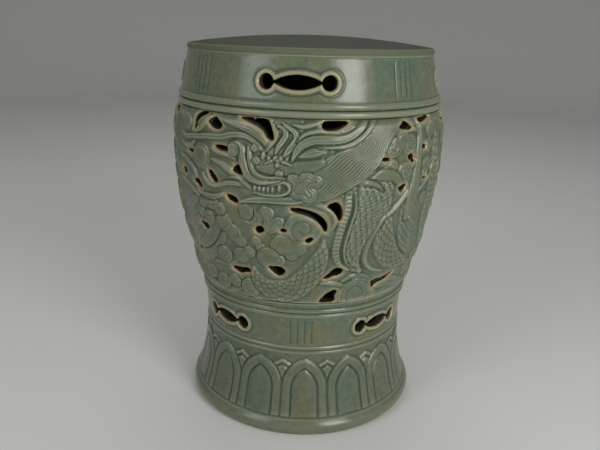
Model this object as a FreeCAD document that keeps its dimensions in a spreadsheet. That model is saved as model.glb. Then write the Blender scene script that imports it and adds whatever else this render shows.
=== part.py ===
import FreeCAD, Part
import math
import os

import Sketcher

from FreeCAD import Placement, Rotation, Vector

# Ceramic garden stool: stacked clay sections, a pierced belly wall and relief luted on it.
# Millimetres, +Z up, floor at z = 0. Azimuth 0 is the middle of the front hand opening, at -Y.

SIZES = [
    # heights of the stacked sections, from the floor up
    ("foot_rim_height", 21.0),
    ("skirt_height", 79.0),
    ("skirt_cordon_height", 10.0),
    ("waist_height", 38.0),
    ("waist_cordon_height", 20.0),
    ("belly_height", 213.0),
    ("shoulder_cordon_height", 16.0),
    ("shoulder_height", 44.0),
    ("slab_edge_height", 8.0),
    ("seat_crown", 11.0),
    # outer radii of the plain clay, before relief
    ("foot_radius", 145.0),
    ("foot_bulge", 4.0),
    ("skirt_foot_radius", 141.0),
    ("waist_radius", 127.8),
    ("belly_radius", 160.0),
    ("shoulder_foot_radius", 155.0),
    ("seat_radius", 146.5),
    # the waist is narrowest and the belly widest at these heights above their lower edges
    ("narrow_height", 76.0),
    ("crest_height", 162.0),
    ("crest_curve", 430.0),
    # walls
    ("foot_wall", 16.0),
    ("ring_wall", 10.0),
    ("belly_wall_thickness", 11.0),
    ("seat_wall", 12.0),
    ("seat_edge_step", 2.5),
    ("seat_edge_bulge", 2.25),
    # beads
    ("shoulder_bead", 3.8),
    ("shoulder_bead_upper", 2.85),
    ("shoulder_bead_root", 155.6),
    ("waist_bead", 2.2),
    ("skirt_bead", 1.6),
    # lobed openings: a lens between two round lobes
    ("opening_count", 4.0),
    ("shoulder_lens_half", 24.5),
    ("shoulder_lens_rise", 7.6),
    ("shoulder_lobe_radius", 7.9),
    ("shoulder_neck_half", 1.1),
    ("shoulder_opening_height", 19.0),
    ("waist_lens_half", 19.5),
    ("waist_lens_rise", 7.8),
    ("waist_lobe_radius", 8.0),
    ("waist_neck_half", 1.2),
    ("waist_opening_height", 20.5),
    ("waist_turn", 49.0),
    ("lip_width", 4.2),
    ("lip_relief", 1.8),
    # flutes
    ("flutes_in_group", 4.0),
    ("flute_radius", 1.5),
    ("flute_depth", 0.9),
    ("flute_pitch", 8.2),
    ("flute_margin", 3.0),
    ("flute_turn", 45.0),
    # lotus petals round the skirt
    ("petal_count", 15.0),
    ("petal_turn", 6.5),
    ("petal_relief", 1.8),
    ("petal_groove", 1.6),
    ("petal_leg_height", 37.0),
    ("petal_peak_height", 73.5),
    ("blade_half_width", 14.6),
    ("blade_leg_height", 33.0),
    ("blade_peak_height", 59.5),
    ("dart_band", 5.0),
    ("dart_peak_height", 72.5),
    ("dart_slope", 0.62),
    ("tip_clearance", 2.2),
    # relief on the belly
    ("carving_turn", 4.5),
    ("carving_repeats", 2.0),
    ("relief", 6.0),
    ("relief_side", 2.2),
    ("seat_gap", 0.15),
    ("pearl_radius", 14.2),
    ("scroll_band", 2.3),
    ("plate_length", 4.0),
    ("plate_gap", 1.6),
]

doc = FreeCAD.newDocument("garden_stool")
sheet = doc.addObject("Spreadsheet::Sheet", "sizes")
for row, (alias, value) in enumerate(SIZES, start=1):
    sheet.set("A%d" % row, alias)
    sheet.set("B%d" % row, str(value))
    sheet.setAlias("B%d" % row, alias)
doc.recompute()


def size(alias):
    return float(sheet.get(alias))


# Heights of the joints between sections, as sums of the sheet's own heights.
STACK = [
    "foot_rim_height",
    "skirt_height",
    "skirt_cordon_height",
    "waist_height",
    "waist_cordon_height",
    "belly_height",
    "shoulder_cordon_height",
    "shoulder_height",
    "slab_edge_height",
    "seat_crown",
]


def level(section):
    """Expression for the height of the top of a section above the floor."""
    names = STACK[: STACK.index(section) + 1]
    return "(" + " + ".join("sizes." + name for name in names) + ")"


def level_value(section):
    return sum(size(name) for name in STACK[: STACK.index(section) + 1])


FLOOR = "0"
RIM_TOP = level("foot_rim_height")
SKIRT_TOP = level("skirt_height")
SKIRT_CORDON_TOP = level("skirt_cordon_height")
WAIST_TOP = level("waist_height")
WAIST_CORDON_TOP = level("waist_cordon_height")
BELLY_TOP = level("belly_height")
SHOULDER_CORDON_TOP = level("shoulder_cordon_height")
SHOULDER_TOP = level("shoulder_height")
SLAB_TOP = level("slab_edge_height")
SEAT_TOP = level("seat_crown")

# The profile from waist to belly is two arcs that meet in a tangent point: the hollow one has its
# middle at the narrow height, the full one at the crest.
NARROW = "(%s + sizes.narrow_height)" % RIM_TOP
CREST = "(%s + sizes.crest_height)" % WAIST_CORDON_TOP
SWELL = "(sizes.belly_radius - sizes.waist_radius)"
CURVE_SUM = "((%s ^ 2 + (%s - %s) ^ 2) / (2 * %s))" % (SWELL, CREST, NARROW, SWELL)
HOLLOW_CURVE = "(%s - sizes.crest_curve)" % CURVE_SUM
TURN_Z = "(%s + %s * (%s - %s) / %s)" % (NARROW, HOLLOW_CURVE, CREST, NARROW, CURVE_SUM)
TURN_R = "(sizes.waist_radius + %s * %s / %s)" % (HOLLOW_CURVE, SWELL, CURVE_SUM)


def hollow_radius(height):
    """Expression for the outer radius on the hollow arc at a height."""
    return "(sizes.waist_radius + {c} - sqrt({c} ^ 2 - ({z} - {n}) ^ 2))".format(
        c=HOLLOW_CURVE, z=height, n=NARROW)


def full_radius(height):
    """Expression for the outer radius on the belly's full arc at a height."""
    return "(sizes.belly_radius - sizes.crest_curve + sqrt(sizes.crest_curve ^ 2 - ({z} - {k}) ^ 2))".format(
        z=height, k=CREST)


def arc_by_rise(chord, rise):
    """Expression for the radius of an arc from its chord and its rise."""
    return "(({c}) ^ 2 / 4 + ({b}) ^ 2) / (2 * ({b}))".format(c=chord, b=rise)


reader = doc.addObject("App::FeaturePython", "reader")
reader.addProperty("App::PropertyFloat", "Value")


def evaluate(expression):
    """Number that an expression over the sheet gives now."""
    reader.setExpression("Value", expression)
    reader.recompute()
    return reader.Value


def origin_feature(body, role):
    return next(item for item in body.Origin.OriginFeatures if item.Role == role)


def bound_sketch(body, name, outline):
    """Closed sketch on the body's XZ plane.

    Each outline item is (x, z, bend, side): expressions of a corner, and for a bent edge to the
    next corner the arc's radius and the side it bulges to, +1 for the left of the way it runs.
    A side of 2 or -2 takes the long way round.
    """
    sketch = body.newObject("Sketcher::SketchObject", name)
    sketch.AttachmentSupport = [(origin_feature(body, "XZ_Plane"), "")]
    sketch.MapMode = "FlatFace"
    corners = [Vector(evaluate(item[0]), evaluate(item[1]), 0) for item in outline]
    for index, item in enumerate(outline):
        start = corners[index]
        end = corners[(index + 1) % len(corners)]
        if item[2] is None:
            sketch.addGeometry(Part.LineSegment(start, end), False)
            continue
        radius = evaluate(item[2])
        chord = end.sub(start)
        left = Vector(-chord.y, chord.x, 0).normalize()
        rise = radius - math.sqrt(max(radius ** 2 - chord.Length ** 2 / 4, 0.0))
        if abs(item[3]) == 2:
            rise = 2 * radius - rise
        side = 1 if item[3] > 0 else -1
        middle = start.add(end).multiply(0.5).add(left.multiply((rise - radius) * side))
        first, last = (end, start) if side > 0 else (start, end)
        turns = [math.atan2(point.y - middle.y, point.x - middle.x) for point in (first, last)]
        if turns[1] < turns[0]:
            turns[1] += 2 * math.pi
        circle = Part.Circle(middle, Vector(0, 0, 1), radius)
        sketch.addGeometry(Part.ArcOfCircle(circle, turns[0], turns[1]), False)
    count = len(outline)
    ends = [(2, 1) if item[2] is not None and item[3] > 0 else (1, 2) for item in outline]
    for index in range(count):
        after = (index + 1) % count
        sketch.addConstraint(Sketcher.Constraint(
            "Coincident", index, ends[index][1], after, ends[after][0]))
    for index, item in enumerate(outline):
        point = (index, ends[index][0])
        for kind, expression, value in (
                ("DistanceX", item[0], corners[index].x), ("DistanceY", item[1], corners[index].y)):
            number = sketch.addConstraint(Sketcher.Constraint(kind, -1, 1, point[0], point[1], value))
            sketch.setExpression("Constraints[%d]" % number, expression)
        if item[2] is not None:
            number = sketch.addConstraint(Sketcher.Constraint("Radius", index, evaluate(item[2])))
            sketch.setExpression("Constraints[%d]" % number, item[2])
    return sketch


def turned(label, outline):
    """Body turned about Z from a bound outline."""
    body = doc.addObject("PartDesign::Body", label)
    body.Label = label
    sketch = bound_sketch(body, label + "_profile", outline)
    revolution = body.newObject("PartDesign::Revolution", label + "_turning")
    revolution.Profile = sketch
    revolution.ReferenceAxis = (sketch, ["V_Axis"])
    revolution.Angle = 360
    sketch.Visibility = False
    doc.recompute()
    return body


def code_shape(label, shape, turn=0.0):
    """Sub-part whose shape is worked out here, turned about Z into its place."""
    feature = doc.addObject("Part::Feature", label)
    feature.Label = label
    feature.Shape = shape
    feature.Placement = Placement(Vector(0, 0, 0), Rotation(Vector(0, 0, 1), turn))
    return feature


def cut(label, base, tool, turn=0.0):
    """Sub-part that is one object less another."""
    feature = doc.addObject("Part::Cut", label)
    feature.Label = label
    feature.Base = base
    feature.Tool = tool
    feature.Placement = Placement(Vector(0, 0, 0), Rotation(Vector(0, 0, 1), turn))
    doc.recompute()
    return feature


def spun(shape, count, turn=0.0):
    """Copies of a shape evenly round Z."""
    copies = []
    for index in range(count):
        copy = shape.copy()
        copy.rotate(Vector(0, 0, 0), Vector(0, 0, 1), turn + 360.0 * index / count)
        copies.append(copy)
    return copies


# Turned sections
def ring_outline(low, high, low_radius, high_radius, wall, bend=None, side=1):
    """Outline of a ring with one outer and one inner edge that run alike."""
    return [
        (low_radius, low, bend, -side),
        (high_radius, high, None, 0),
        ("(%s - %s)" % (high_radius, wall), high, bend, side),
        ("(%s - %s)" % (low_radius, wall), low, None, 0),
    ]


RING_WALL = "sizes.ring_wall"

foot_rim = turned("foot_rim", [
    ("sizes.foot_radius", FLOOR,
     arc_by_rise("sizes.foot_rim_height", "sizes.foot_bulge"), -1),
    ("sizes.foot_radius", RIM_TOP, None, 0),
    ("(sizes.foot_radius - sizes.foot_wall)", RIM_TOP, None, 0),
    ("(sizes.foot_radius - sizes.foot_wall)", FLOOR, None, 0),
])

SKIRT_SWELL = "(sizes.skirt_foot_radius - sizes.waist_radius)"
SKIRT_CURVE = "((sizes.narrow_height ^ 2 + %s ^ 2) / (2 * %s))" % (SKIRT_SWELL, SKIRT_SWELL)
SKIRT_TOP_RADIUS = hollow_radius(SKIRT_TOP)

foot_skirt = turned("foot_skirt", ring_outline(
    RIM_TOP, SKIRT_TOP, "sizes.skirt_foot_radius", SKIRT_TOP_RADIUS, RING_WALL, SKIRT_CURVE, -1))

CORDON_RADIUS = hollow_radius(SKIRT_CORDON_TOP)
SKIRT_BEAD_TOP = "(%s + sizes.skirt_cordon_height / 2)" % SKIRT_TOP

skirt_cordon = turned("skirt_cordon", [
    (SKIRT_TOP_RADIUS, SKIRT_TOP,
     arc_by_rise("sizes.skirt_cordon_height / 2", "sizes.skirt_bead"), -1),
    (SKIRT_TOP_RADIUS, SKIRT_BEAD_TOP, None, 0),
    (CORDON_RADIUS, SKIRT_CORDON_TOP, None, 0),
    ("(%s - %s)" % (CORDON_RADIUS, RING_WALL), SKIRT_CORDON_TOP, None, 0),
    ("(%s - %s)" % (SKIRT_TOP_RADIUS, RING_WALL), SKIRT_TOP, None, 0),
])

WAIST_TOP_RADIUS = hollow_radius(WAIST_TOP)
waist_ring = turned("waist_ring", ring_outline(
    SKIRT_CORDON_TOP, WAIST_TOP, CORDON_RADIUS, WAIST_TOP_RADIUS, RING_WALL, HOLLOW_CURVE, -1))

WAIST_BEAD_HEIGHT = "(sizes.waist_cordon_height / 3)"
MARGIN_RADIUS = hollow_radius(WAIST_CORDON_TOP)
BEAD_ONE_TOP = "(%s + %s)" % (WAIST_TOP, WAIST_BEAD_HEIGHT)
BEAD_TWO_TOP = "(%s + 2 * %s)" % (WAIST_TOP, WAIST_BEAD_HEIGHT)
BEAD_ONE_RADIUS = hollow_radius(BEAD_ONE_TOP)
BEAD_TWO_RADIUS = hollow_radius(BEAD_TWO_TOP)
WAIST_BEAD_CHORD = "sqrt({h} ^ 2 + ({a} - {b}) ^ 2)"

waist_cordon = turned("waist_cordon", [
    (WAIST_TOP_RADIUS, WAIST_TOP,
     arc_by_rise(WAIST_BEAD_CHORD.format(h=WAIST_BEAD_HEIGHT, a=BEAD_ONE_RADIUS, b=WAIST_TOP_RADIUS),
                 "sizes.waist_bead"), -1),
    (BEAD_ONE_RADIUS, BEAD_ONE_TOP,
     arc_by_rise(WAIST_BEAD_CHORD.format(h=WAIST_BEAD_HEIGHT, a=BEAD_TWO_RADIUS, b=BEAD_ONE_RADIUS),
                 "sizes.waist_bead"), -1),
    (BEAD_TWO_RADIUS, BEAD_TWO_TOP, None, 0),
    (MARGIN_RADIUS, WAIST_CORDON_TOP, None, 0),
    ("(%s - sizes.belly_wall_thickness)" % MARGIN_RADIUS, WAIST_CORDON_TOP, None, 0),
    ("(%s - %s)" % (WAIST_TOP_RADIUS, RING_WALL), WAIST_TOP, None, 0),
])

BELLY_WALL = "sizes.belly_wall_thickness"
BELLY_TOP_RADIUS = full_radius(BELLY_TOP)
belly_ring = turned("belly_ring", [
    (MARGIN_RADIUS, WAIST_CORDON_TOP, HOLLOW_CURVE, 1),
    (TURN_R, TURN_Z, "sizes.crest_curve", -1),
    (BELLY_TOP_RADIUS, BELLY_TOP, None, 0),
    ("(%s - %s)" % (BELLY_TOP_RADIUS, BELLY_WALL), BELLY_TOP, "sizes.crest_curve", 1),
    ("(%s - %s)" % (TURN_R, BELLY_WALL), TURN_Z, HOLLOW_CURVE, -1),
    ("(%s - %s)" % (MARGIN_RADIUS, BELLY_WALL), WAIST_CORDON_TOP, None, 0),
])

SHOULDER_BEAD_HEIGHT = "(sizes.shoulder_cordon_height / 2)"
SHOULDER_BEAD_MID = "(%s + %s)" % (BELLY_TOP, SHOULDER_BEAD_HEIGHT)
shoulder_cordon = turned("shoulder_cordon", [
    ("sizes.shoulder_bead_root", BELLY_TOP,
     arc_by_rise(SHOULDER_BEAD_HEIGHT, "sizes.shoulder_bead"), -1),
    ("sizes.shoulder_bead_root", SHOULDER_BEAD_MID,
     arc_by_rise(SHOULDER_BEAD_HEIGHT, "sizes.shoulder_bead_upper"), -1),
    ("sizes.shoulder_bead_root", SHOULDER_CORDON_TOP, None, 0),
    ("(sizes.shoulder_foot_radius - %s)" % RING_WALL, SHOULDER_CORDON_TOP, None, 0),
    ("(%s - %s)" % (BELLY_TOP_RADIUS, BELLY_WALL), BELLY_TOP, None, 0),
])

shoulder_ring = turned("shoulder_ring", ring_outline(
    SHOULDER_CORDON_TOP, SHOULDER_TOP, "sizes.shoulder_foot_radius", "sizes.seat_radius", RING_WALL))

SLAB_EDGE_RADIUS = "(sizes.seat_radius - sizes.seat_edge_step)"
SLAB_SEAT_RADIUS = "(sizes.seat_radius - %s)" % RING_WALL
seat_slab = turned("seat_slab", [
    ("sizes.seat_radius", SHOULDER_TOP,
     arc_by_rise("sqrt(sizes.slab_edge_height ^ 2 + sizes.seat_edge_step ^ 2)",
                 "sizes.seat_edge_bulge"), -1),
    (SLAB_EDGE_RADIUS, SLAB_TOP,
     arc_by_rise("2 * " + SLAB_EDGE_RADIUS, "sizes.seat_crown"), -1),
    (FLOOR, SEAT_TOP, None, 0),
    (FLOOR, "(%s - sizes.seat_wall)" % SEAT_TOP,
     arc_by_rise("2 * " + SLAB_SEAT_RADIUS, "sizes.slab_edge_height + sizes.seat_crown - sizes.seat_wall"), 1),
    (SLAB_SEAT_RADIUS, SHOULDER_TOP, None, 0),
])


# Radii of the finished outer surfaces, for what is luted on them
narrow_z = evaluate(NARROW)
crest_z = evaluate(CREST)
turn_z = evaluate(TURN_Z)
hollow_curve = evaluate(HOLLOW_CURVE)
skirt_curve = evaluate(SKIRT_CURVE)
crest_curve = size("crest_curve")


def belly_radius_at(z):
    if z < turn_z:
        return size("waist_radius") + hollow_curve - math.sqrt(hollow_curve ** 2 - (z - narrow_z) ** 2)
    return size("belly_radius") - crest_curve + math.sqrt(crest_curve ** 2 - (z - crest_z) ** 2)


def shell_between(outline_points, low, high):
    """Thin turned shell that stands off a wall from low to high millimetres."""
    outer = [Vector(r + high, 0, z) for r, z in outline_points]
    inner = [Vector(r + low, 0, z) for r, z in reversed(outline_points)]
    outer_edge = Part.BSplineCurve()
    outer_edge.interpolate(outer)
    inner_edge = Part.BSplineCurve()
    inner_edge.interpolate(inner)
    edges = [
        outer_edge.toShape(),
        Part.makeLine(outer[-1], inner[0]),
        inner_edge.toShape(),
        Part.makeLine(inner[-1], outer[0]),
    ]
    return Part.Face(Part.Wire(edges)).revolve(Vector(0, 0, 0), Vector(0, 0, 1), 360)


# Lobed openings
def opening_items(prefix, low):
    """Bound outline of one lobed opening, seen from the front."""
    half = "sizes.%s_lens_half" % prefix
    neck = "sizes.%s_neck_half" % prefix
    middle = "(%s + sizes.%s_opening_height)" % (low, prefix)
    lens = arc_by_rise("2 * " + half, "(sizes.%s_lens_rise - %s)" % (prefix, neck))
    lobe = "sizes.%s_lobe_radius" % prefix
    top = "(%s + %s)" % (middle, neck)
    bottom = "(%s - %s)" % (middle, neck)
    return [
        ("-" + half, top, lens, 1),
        (half, top, lobe, 2),
        (half, bottom, lens, 1),
        ("-" + half, bottom, lobe, 2),
    ]


def with_openings(body, prefix, low):
    """Cuts the ring's openings: one pocket, repeated evenly round the axis."""
    sketch = bound_sketch(body, prefix + "_opening", opening_items(prefix, low))
    pocket = body.newObject("PartDesign::Pocket", prefix + "_pocket")
    pocket.Profile = sketch
    pocket.Type = 1
    pocket.Reversed = True
    sketch.Visibility = False
    doc.recompute()
    pattern = body.newObject("PartDesign::PolarPattern", prefix + "_openings")
    pattern.Originals = [pocket]
    pattern.Axis = (origin_feature(body, "Z_Axis"), [""])
    pattern.Angle = 360
    pattern.setExpression("Occurrences", "sizes.opening_count")
    body.Tip = pattern
    doc.recompute()
    return sketch


def flute_tool(label, low, high, low_radius, high_radius):
    """Rods that leave the vertical flutes, grouped midway between the openings."""
    radius = size("flute_radius")
    out = radius - size("flute_depth")
    start = Vector(0, -(low_radius + out), low + size("flute_margin"))
    end = Vector(0, -(high_radius + out), high - size("flute_margin"))
    way = end.sub(start)
    rod = Part.makeCylinder(radius, way.Length, start, way)
    flutes = int(size("flutes_in_group"))
    step = math.degrees(size("flute_pitch") / low_radius)
    rods = []
    for index in range(flutes):
        turn = size("flute_turn") + step * (index - (flutes - 1) / 2)
        rods += spun(rod, int(size("opening_count")), turn)
    tool = doc.addObject("Part::Feature", label)
    tool.Shape = Part.makeCompound(rods)
    return tool


def opening_lips(label, sketch, wall_points, turn):
    """Raised rolls that stand round the openings, seated on the ring's outer face."""
    hole = sketch.Shape.Wires[0]
    outer = hole.makeOffset2D(size("lip_width"))
    face = Part.Face(outer).cut(Part.Face(hole))
    prism = face.extrude(Vector(0, -2 * size("belly_radius"), 0))
    shell = shell_between(wall_points, size("seat_gap"), size("lip_relief"))
    lip = prism.common(shell)
    lip = max(lip.Solids, key=lambda solid: solid.Volume)
    return code_shape(label, Part.makeCompound(spun(lip, int(size("opening_count")))), turn)


shoulder_low = level_value("shoulder_cordon_height")
shoulder_high = level_value("shoulder_height")
shoulder_sketch = with_openings(shoulder_ring, "shoulder", SHOULDER_CORDON_TOP)
shoulder_band = cut("shoulder_band", shoulder_ring, flute_tool(
    "shoulder_flutes", shoulder_low, shoulder_high, size("shoulder_foot_radius"), size("seat_radius")))
shoulder_line = [
    (size("shoulder_foot_radius") + (size("seat_radius") - size("shoulder_foot_radius")) * part / 4,
     shoulder_low + size("shoulder_height") * part / 4)
    for part in range(5)
]
shoulder_lips = opening_lips("shoulder_opening_lips", shoulder_sketch, shoulder_line, 0)

waist_low = level_value("skirt_cordon_height")
waist_high = level_value("waist_height")
waist_sketch = with_openings(waist_ring, "waist", SKIRT_CORDON_TOP)
waist_band = cut("waist_band", waist_ring, flute_tool(
    "waist_flutes", waist_low, waist_high, belly_radius_at(waist_low), belly_radius_at(waist_high)),
    size("waist_turn"))
waist_line = [
    (belly_radius_at(waist_low + size("waist_height") * part / 6), waist_low + size("waist_height") * part / 6)
    for part in range(7)
]
waist_lips = opening_lips("waist_opening_lips", waist_sketch, waist_line, size("waist_turn"))


# Lotus petals
skirt_low = level_value("foot_rim_height")


def skirt_radius_at(z):
    return size("waist_radius") + skirt_curve - math.sqrt(skirt_curve ** 2 - (z - narrow_z) ** 2)


skirt_line = [
    (skirt_radius_at(skirt_low + size("narrow_height") * part / 8), skirt_low + size("narrow_height") * part / 8)
    for part in range(9)
]
skirt_shell = shell_between(skirt_line, size("seat_gap"), size("petal_relief"))
petal_half = math.pi * size("waist_radius") / size("petal_count") - size("petal_groove") / 2


def pointed_arch(half, leg, peak):
    """Face of a pointed arch that stands on the skirt's foot, facing the front."""
    curve = (half ** 2 + (peak - leg) ** 2) / (2 * half)
    middle_angle = math.atan2(peak - leg, curve - half) / 2
    mid_x = half - curve + curve * math.cos(middle_angle)
    mid_z = leg + curve * math.sin(middle_angle)
    base = skirt_low

    def at(x, z):
        return Vector(x, 0, base + z)

    edges = [
        Part.makeLine(at(-half, 0), at(half, 0)),
        Part.makeLine(at(half, 0), at(half, leg)),
        Part.Arc(at(half, leg), at(mid_x, mid_z), at(0, peak)).toShape(),
        Part.Arc(at(0, peak), at(-mid_x, mid_z), at(-half, leg)).toShape(),
        Part.makeLine(at(-half, leg), at(-half, 0)),
    ]
    return Part.Face(Part.Wire(edges))


def on_skirt(face):
    """Solid that a face seen from the front leaves in the petals' thin shell."""
    prism = face.extrude(Vector(0, -2 * size("belly_radius"), 0))
    return prism.common(skirt_shell).Solids[0]


blade_face = pointed_arch(size("blade_half_width"), size("blade_leg_height"), size("blade_peak_height"))
groove = size("petal_groove")
inner_arch = pointed_arch(size("blade_half_width") + groove, size("blade_leg_height"),
                          size("blade_peak_height") + size("tip_clearance"))
rim_face = pointed_arch(petal_half, size("petal_leg_height"), size("petal_peak_height")).cut(inner_arch)
petals = int(size("petal_count"))
petal_turn = size("petal_turn")
petal_blades = code_shape(
    "lotus_petal_blades", Part.makeCompound(spun(on_skirt(blade_face), petals, petal_turn)))
petal_rims = code_shape(
    "lotus_petal_rims", Part.makeCompound(spun(on_skirt(rim_face), petals, petal_turn)))

pitch = 2 * math.pi * size("waist_radius") / petals


def dart_faces():
    """The outer chevron band and the inner blade that fill the gap between two petals."""
    gap_arch = pointed_arch(petal_half + groove, size("petal_leg_height"), size("petal_peak_height") + size("tip_clearance"))
    neighbours = []
    for side in (-1, 1):
        copy = gap_arch.copy()
        copy.translate(Vector(side * pitch / 2, 0, 0))
        neighbours.append(copy)
    peak = skirt_low + size("dart_peak_height")
    slope = size("dart_slope")
    spread = pitch / 2

    def chevron(drop, height):
        top = peak - drop
        points = [
            Vector(0, 0, top),
            Vector(spread, 0, top - slope * spread),
            Vector(spread, 0, top - slope * spread - height),
            Vector(0, 0, top - height),
            Vector(-spread, 0, top - slope * spread - height),
            Vector(-spread, 0, top - slope * spread),
            Vector(0, 0, top),
        ]
        return Part.Face(Part.makePolygon(points))

    band = chevron(0, size("dart_band"))
    blade = chevron(size("dart_band") + size("tip_clearance"), size("petal_peak_height") / 3)
    for neighbour in neighbours:
        band = band.cut(neighbour)
        blade = blade.cut(neighbour)
    return [max(face.Faces, key=lambda piece: piece.Area) for face in (band, blade)]


darts = []
for dart in dart_faces():
    darts += spun(on_skirt(dart), petals, petal_turn + 180.0 / petals)
petal_darts = code_shape("petal_darts", Part.makeCompound(darts))

# Piercings of the belly wall, as (azimuth in degrees, height above the belly's lower edge) outlines.
# They repeat with the carving.
PIERCINGS = [
    [(-46, 212), (-41.5, 212), (-43, 210), (-46, 206), (-48, 201), (-48.3, 193), (-49.5, 191), (-50, 201),
     (-48.6, 208)],
    [(-41.5, 202), (-39, 207), (-37, 209), (-35, 204.5), (-33.6, 200.5), (-35, 197), (-38, 196.5)],
    [(-27, 211.5), (-20, 211.5), (-14, 211.5), (-12.6, 199), (-12, 191), (-14.4, 192), (-16, 200), (-19, 205),
     (-23, 209)],
    [(-37.3, 180), (-30.3, 180), (-30.3, 175.5), (-34, 175), (-37, 177.5)],
    [(-55, 168.5), (-49.8, 169), (-49.6, 166), (-53, 165.3)],
    [(-29, 157), (-25.7, 164), (-24.5, 158), (-23.7, 152.7), (-26, 152.7)],
    [(-41.5, 151.5), (-39, 151), (-37, 146), (-35.6, 141), (-37.5, 138.5), (-39.5, 142)],
    [(-62, 143), (-57, 146), (-56.5, 140), (-60, 137)],
    [(-51.5, 135), (-48, 138), (-46, 134), (-45, 129), (-47, 128), (-49, 132)],
    [(-32, 129), (-28, 127), (-26.6, 124), (-27, 120), (-30, 121.5), (-31.5, 124)],
    [(-5.5, 120), (-2, 122), (3, 119.3), (6.8, 113), (8.4, 104), (7.6, 95), (6.3, 101), (4.2, 109), (1, 115),
     (-2, 118)],
    [(7.5, 124), (11, 129), (13, 125), (14, 116), (13, 106), (11.8, 114), (9.7, 121)],
    [(-20, 93), (-18.5, 98), (-16.5, 96.5), (-16, 93), (-18, 89), (-19.5, 90)],
    [(-10, 95), (-8, 98), (-6.9, 95.3), (-8.5, 93)],
    [(-0.2, 85), (2, 89), (3.3, 88), (2.5, 84), (1, 82)],
    [(-50, 87), (-45, 86), (-44, 83), (-46, 78), (-48, 80)],
    [(-58.5, 46), (-55, 53), (-54.5, 50), (-57, 44), (-60, 43)],
    [(-34.5, 37), (-32, 41), (-29, 40), (-25, 42.5), (-24, 37), (-27, 36), (-30, 32.5), (-32, 35)],
    [(-16, 49), (-11, 50.5), (-8.5, 47), (-8, 43), (-10, 38), (-12, 38.5), (-14, 43)],
    [(8.5, 36), (11, 43), (14, 50.5), (17.5, 46.5), (16, 40), (13, 39.5), (10, 35.5)],
    [(6.8, 4), (10, 14), (13.5, 20), (16, 19), (14.6, 12), (15.4, 4.5), (11, 3.6)],
    [(33, 26), (40, 26.5), (47, 31), (46, 27.5), (40, 23), (36, 21.5), (34, 15.5), (33, 19)],
    [(5, 211.5), (10, 211.5), (15.4, 211.5), (12.6, 206), (10, 203), (5, 203)],
    [(36, 203), (38.5, 210), (40, 208.5), (43, 203), (41, 200.5), (38, 202)],
    [(45.5, 210), (51.5, 211.5), (57.5, 212), (52, 207.5), (48, 206)],
    [(28.4, 173), (32.5, 172.3), (31, 169.5), (28.8, 170.3)],
    [(41, 174.5), (44, 174.5), (45, 169), (44, 164), (42, 169)],
    [(37, 141), (42, 142), (40.8, 137), (39, 132), (38, 136)],
    [(49.6, 182), (52.2, 182), (52, 176.5), (50, 177.5)],
    [(52.3, 145.5), (55, 147), (55.2, 143.5), (53, 142.5)],
    # the sides, out of the picture: alike in size and spacing
    [(68, 208), (76, 211), (83, 209), (80, 203), (73, 201)],
    [(67.5, 150), (71, 155), (73, 149), (70.5, 143)],
    [(81.6, 168), (86.5, 173), (89.5, 166), (85, 160.5)],
    [(101, 207), (108, 211), (113, 208.5), (110, 203), (104, 202)],
    [(93.5, 128), (99, 131), (98, 124), (95, 122)],
    [(70.5, 96), (73.5, 102), (76, 96), (73, 90)],
    [(107, 107), (111, 111), (113, 105), (109, 101)],
    [(71, 20), (78, 24), (86, 21), (84, 15), (76, 14)],
    [(99, 42), (105, 48), (110, 44), (108, 37), (102, 36)],
    [(93, 76), (97, 80), (98.5, 75), (95.5, 71)],
]

# The carving is laid out on a belly of this height, and follows the belly when it grows.
LAYOUT_HEIGHT = 213.0
belly_low = level_value("waist_cordon_height")
belly_step = size("belly_height") / LAYOUT_HEIGHT


def piercing_tools():
    """One prism for each hole, cut straight in at the hole's own middle."""
    tools = []
    depth = 4 * size("belly_wall_thickness")
    for outline in PIERCINGS:
        middle = math.radians(sum(angle for angle, rise in outline) / len(outline))
        points = []
        for angle, rise in outline:
            z = belly_low + rise * belly_step
            radius = belly_radius_at(z)
            across = radius * math.sin(math.radians(angle) - middle)
            points.append(Vector(across, -size("belly_radius") - depth / 4, z))
        curve = Part.BSplineCurve(points, None, None, True, 2, None, False)
        prism = Part.Face(Part.Wire(curve.toShape())).extrude(Vector(0, depth, 0))
        prism.rotate(Vector(0, 0, 0), Vector(0, 0, 1), math.degrees(middle))
        tools += spun(prism, int(size("carving_repeats")))
    tool = doc.addObject("Part::Feature", "piercings")
    tool.Shape = Part.makeCompound(tools)
    return tool


carving_turn = size("carving_turn")
belly_wall = cut("belly_wall", belly_ring, piercing_tools(), carving_turn)


# Relief: each band is a smooth domed strip whose foot follows the wall
def wall_frame(angle, z):
    """Point on the belly's wall with its outward, sideways and upward directions."""
    radius = belly_radius_at(z)
    slope = (belly_radius_at(z + 0.5) - belly_radius_at(z - 0.5))
    turn = math.radians(angle)
    level_out = Vector(math.sin(turn), -math.cos(turn), 0)
    sideways = Vector(math.cos(turn), math.sin(turn), 0)
    upward = Vector(slope * level_out.x, slope * level_out.y, 1)
    upward.normalize()
    outward = sideways.cross(upward)
    foot = Vector(radius * math.sin(turn), -radius * math.cos(turn), z)
    return foot, outward, sideways, upward


def on_wall(start, outward, lift):
    """Moves a point along the outward direction until it stands off the wall by lift."""
    point = Vector(start)
    for _ in range(4):
        error = math.hypot(point.x, point.y) - belly_radius_at(point.z) - lift
        point = point.add(Vector(outward).multiply(-error))
    return point


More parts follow.
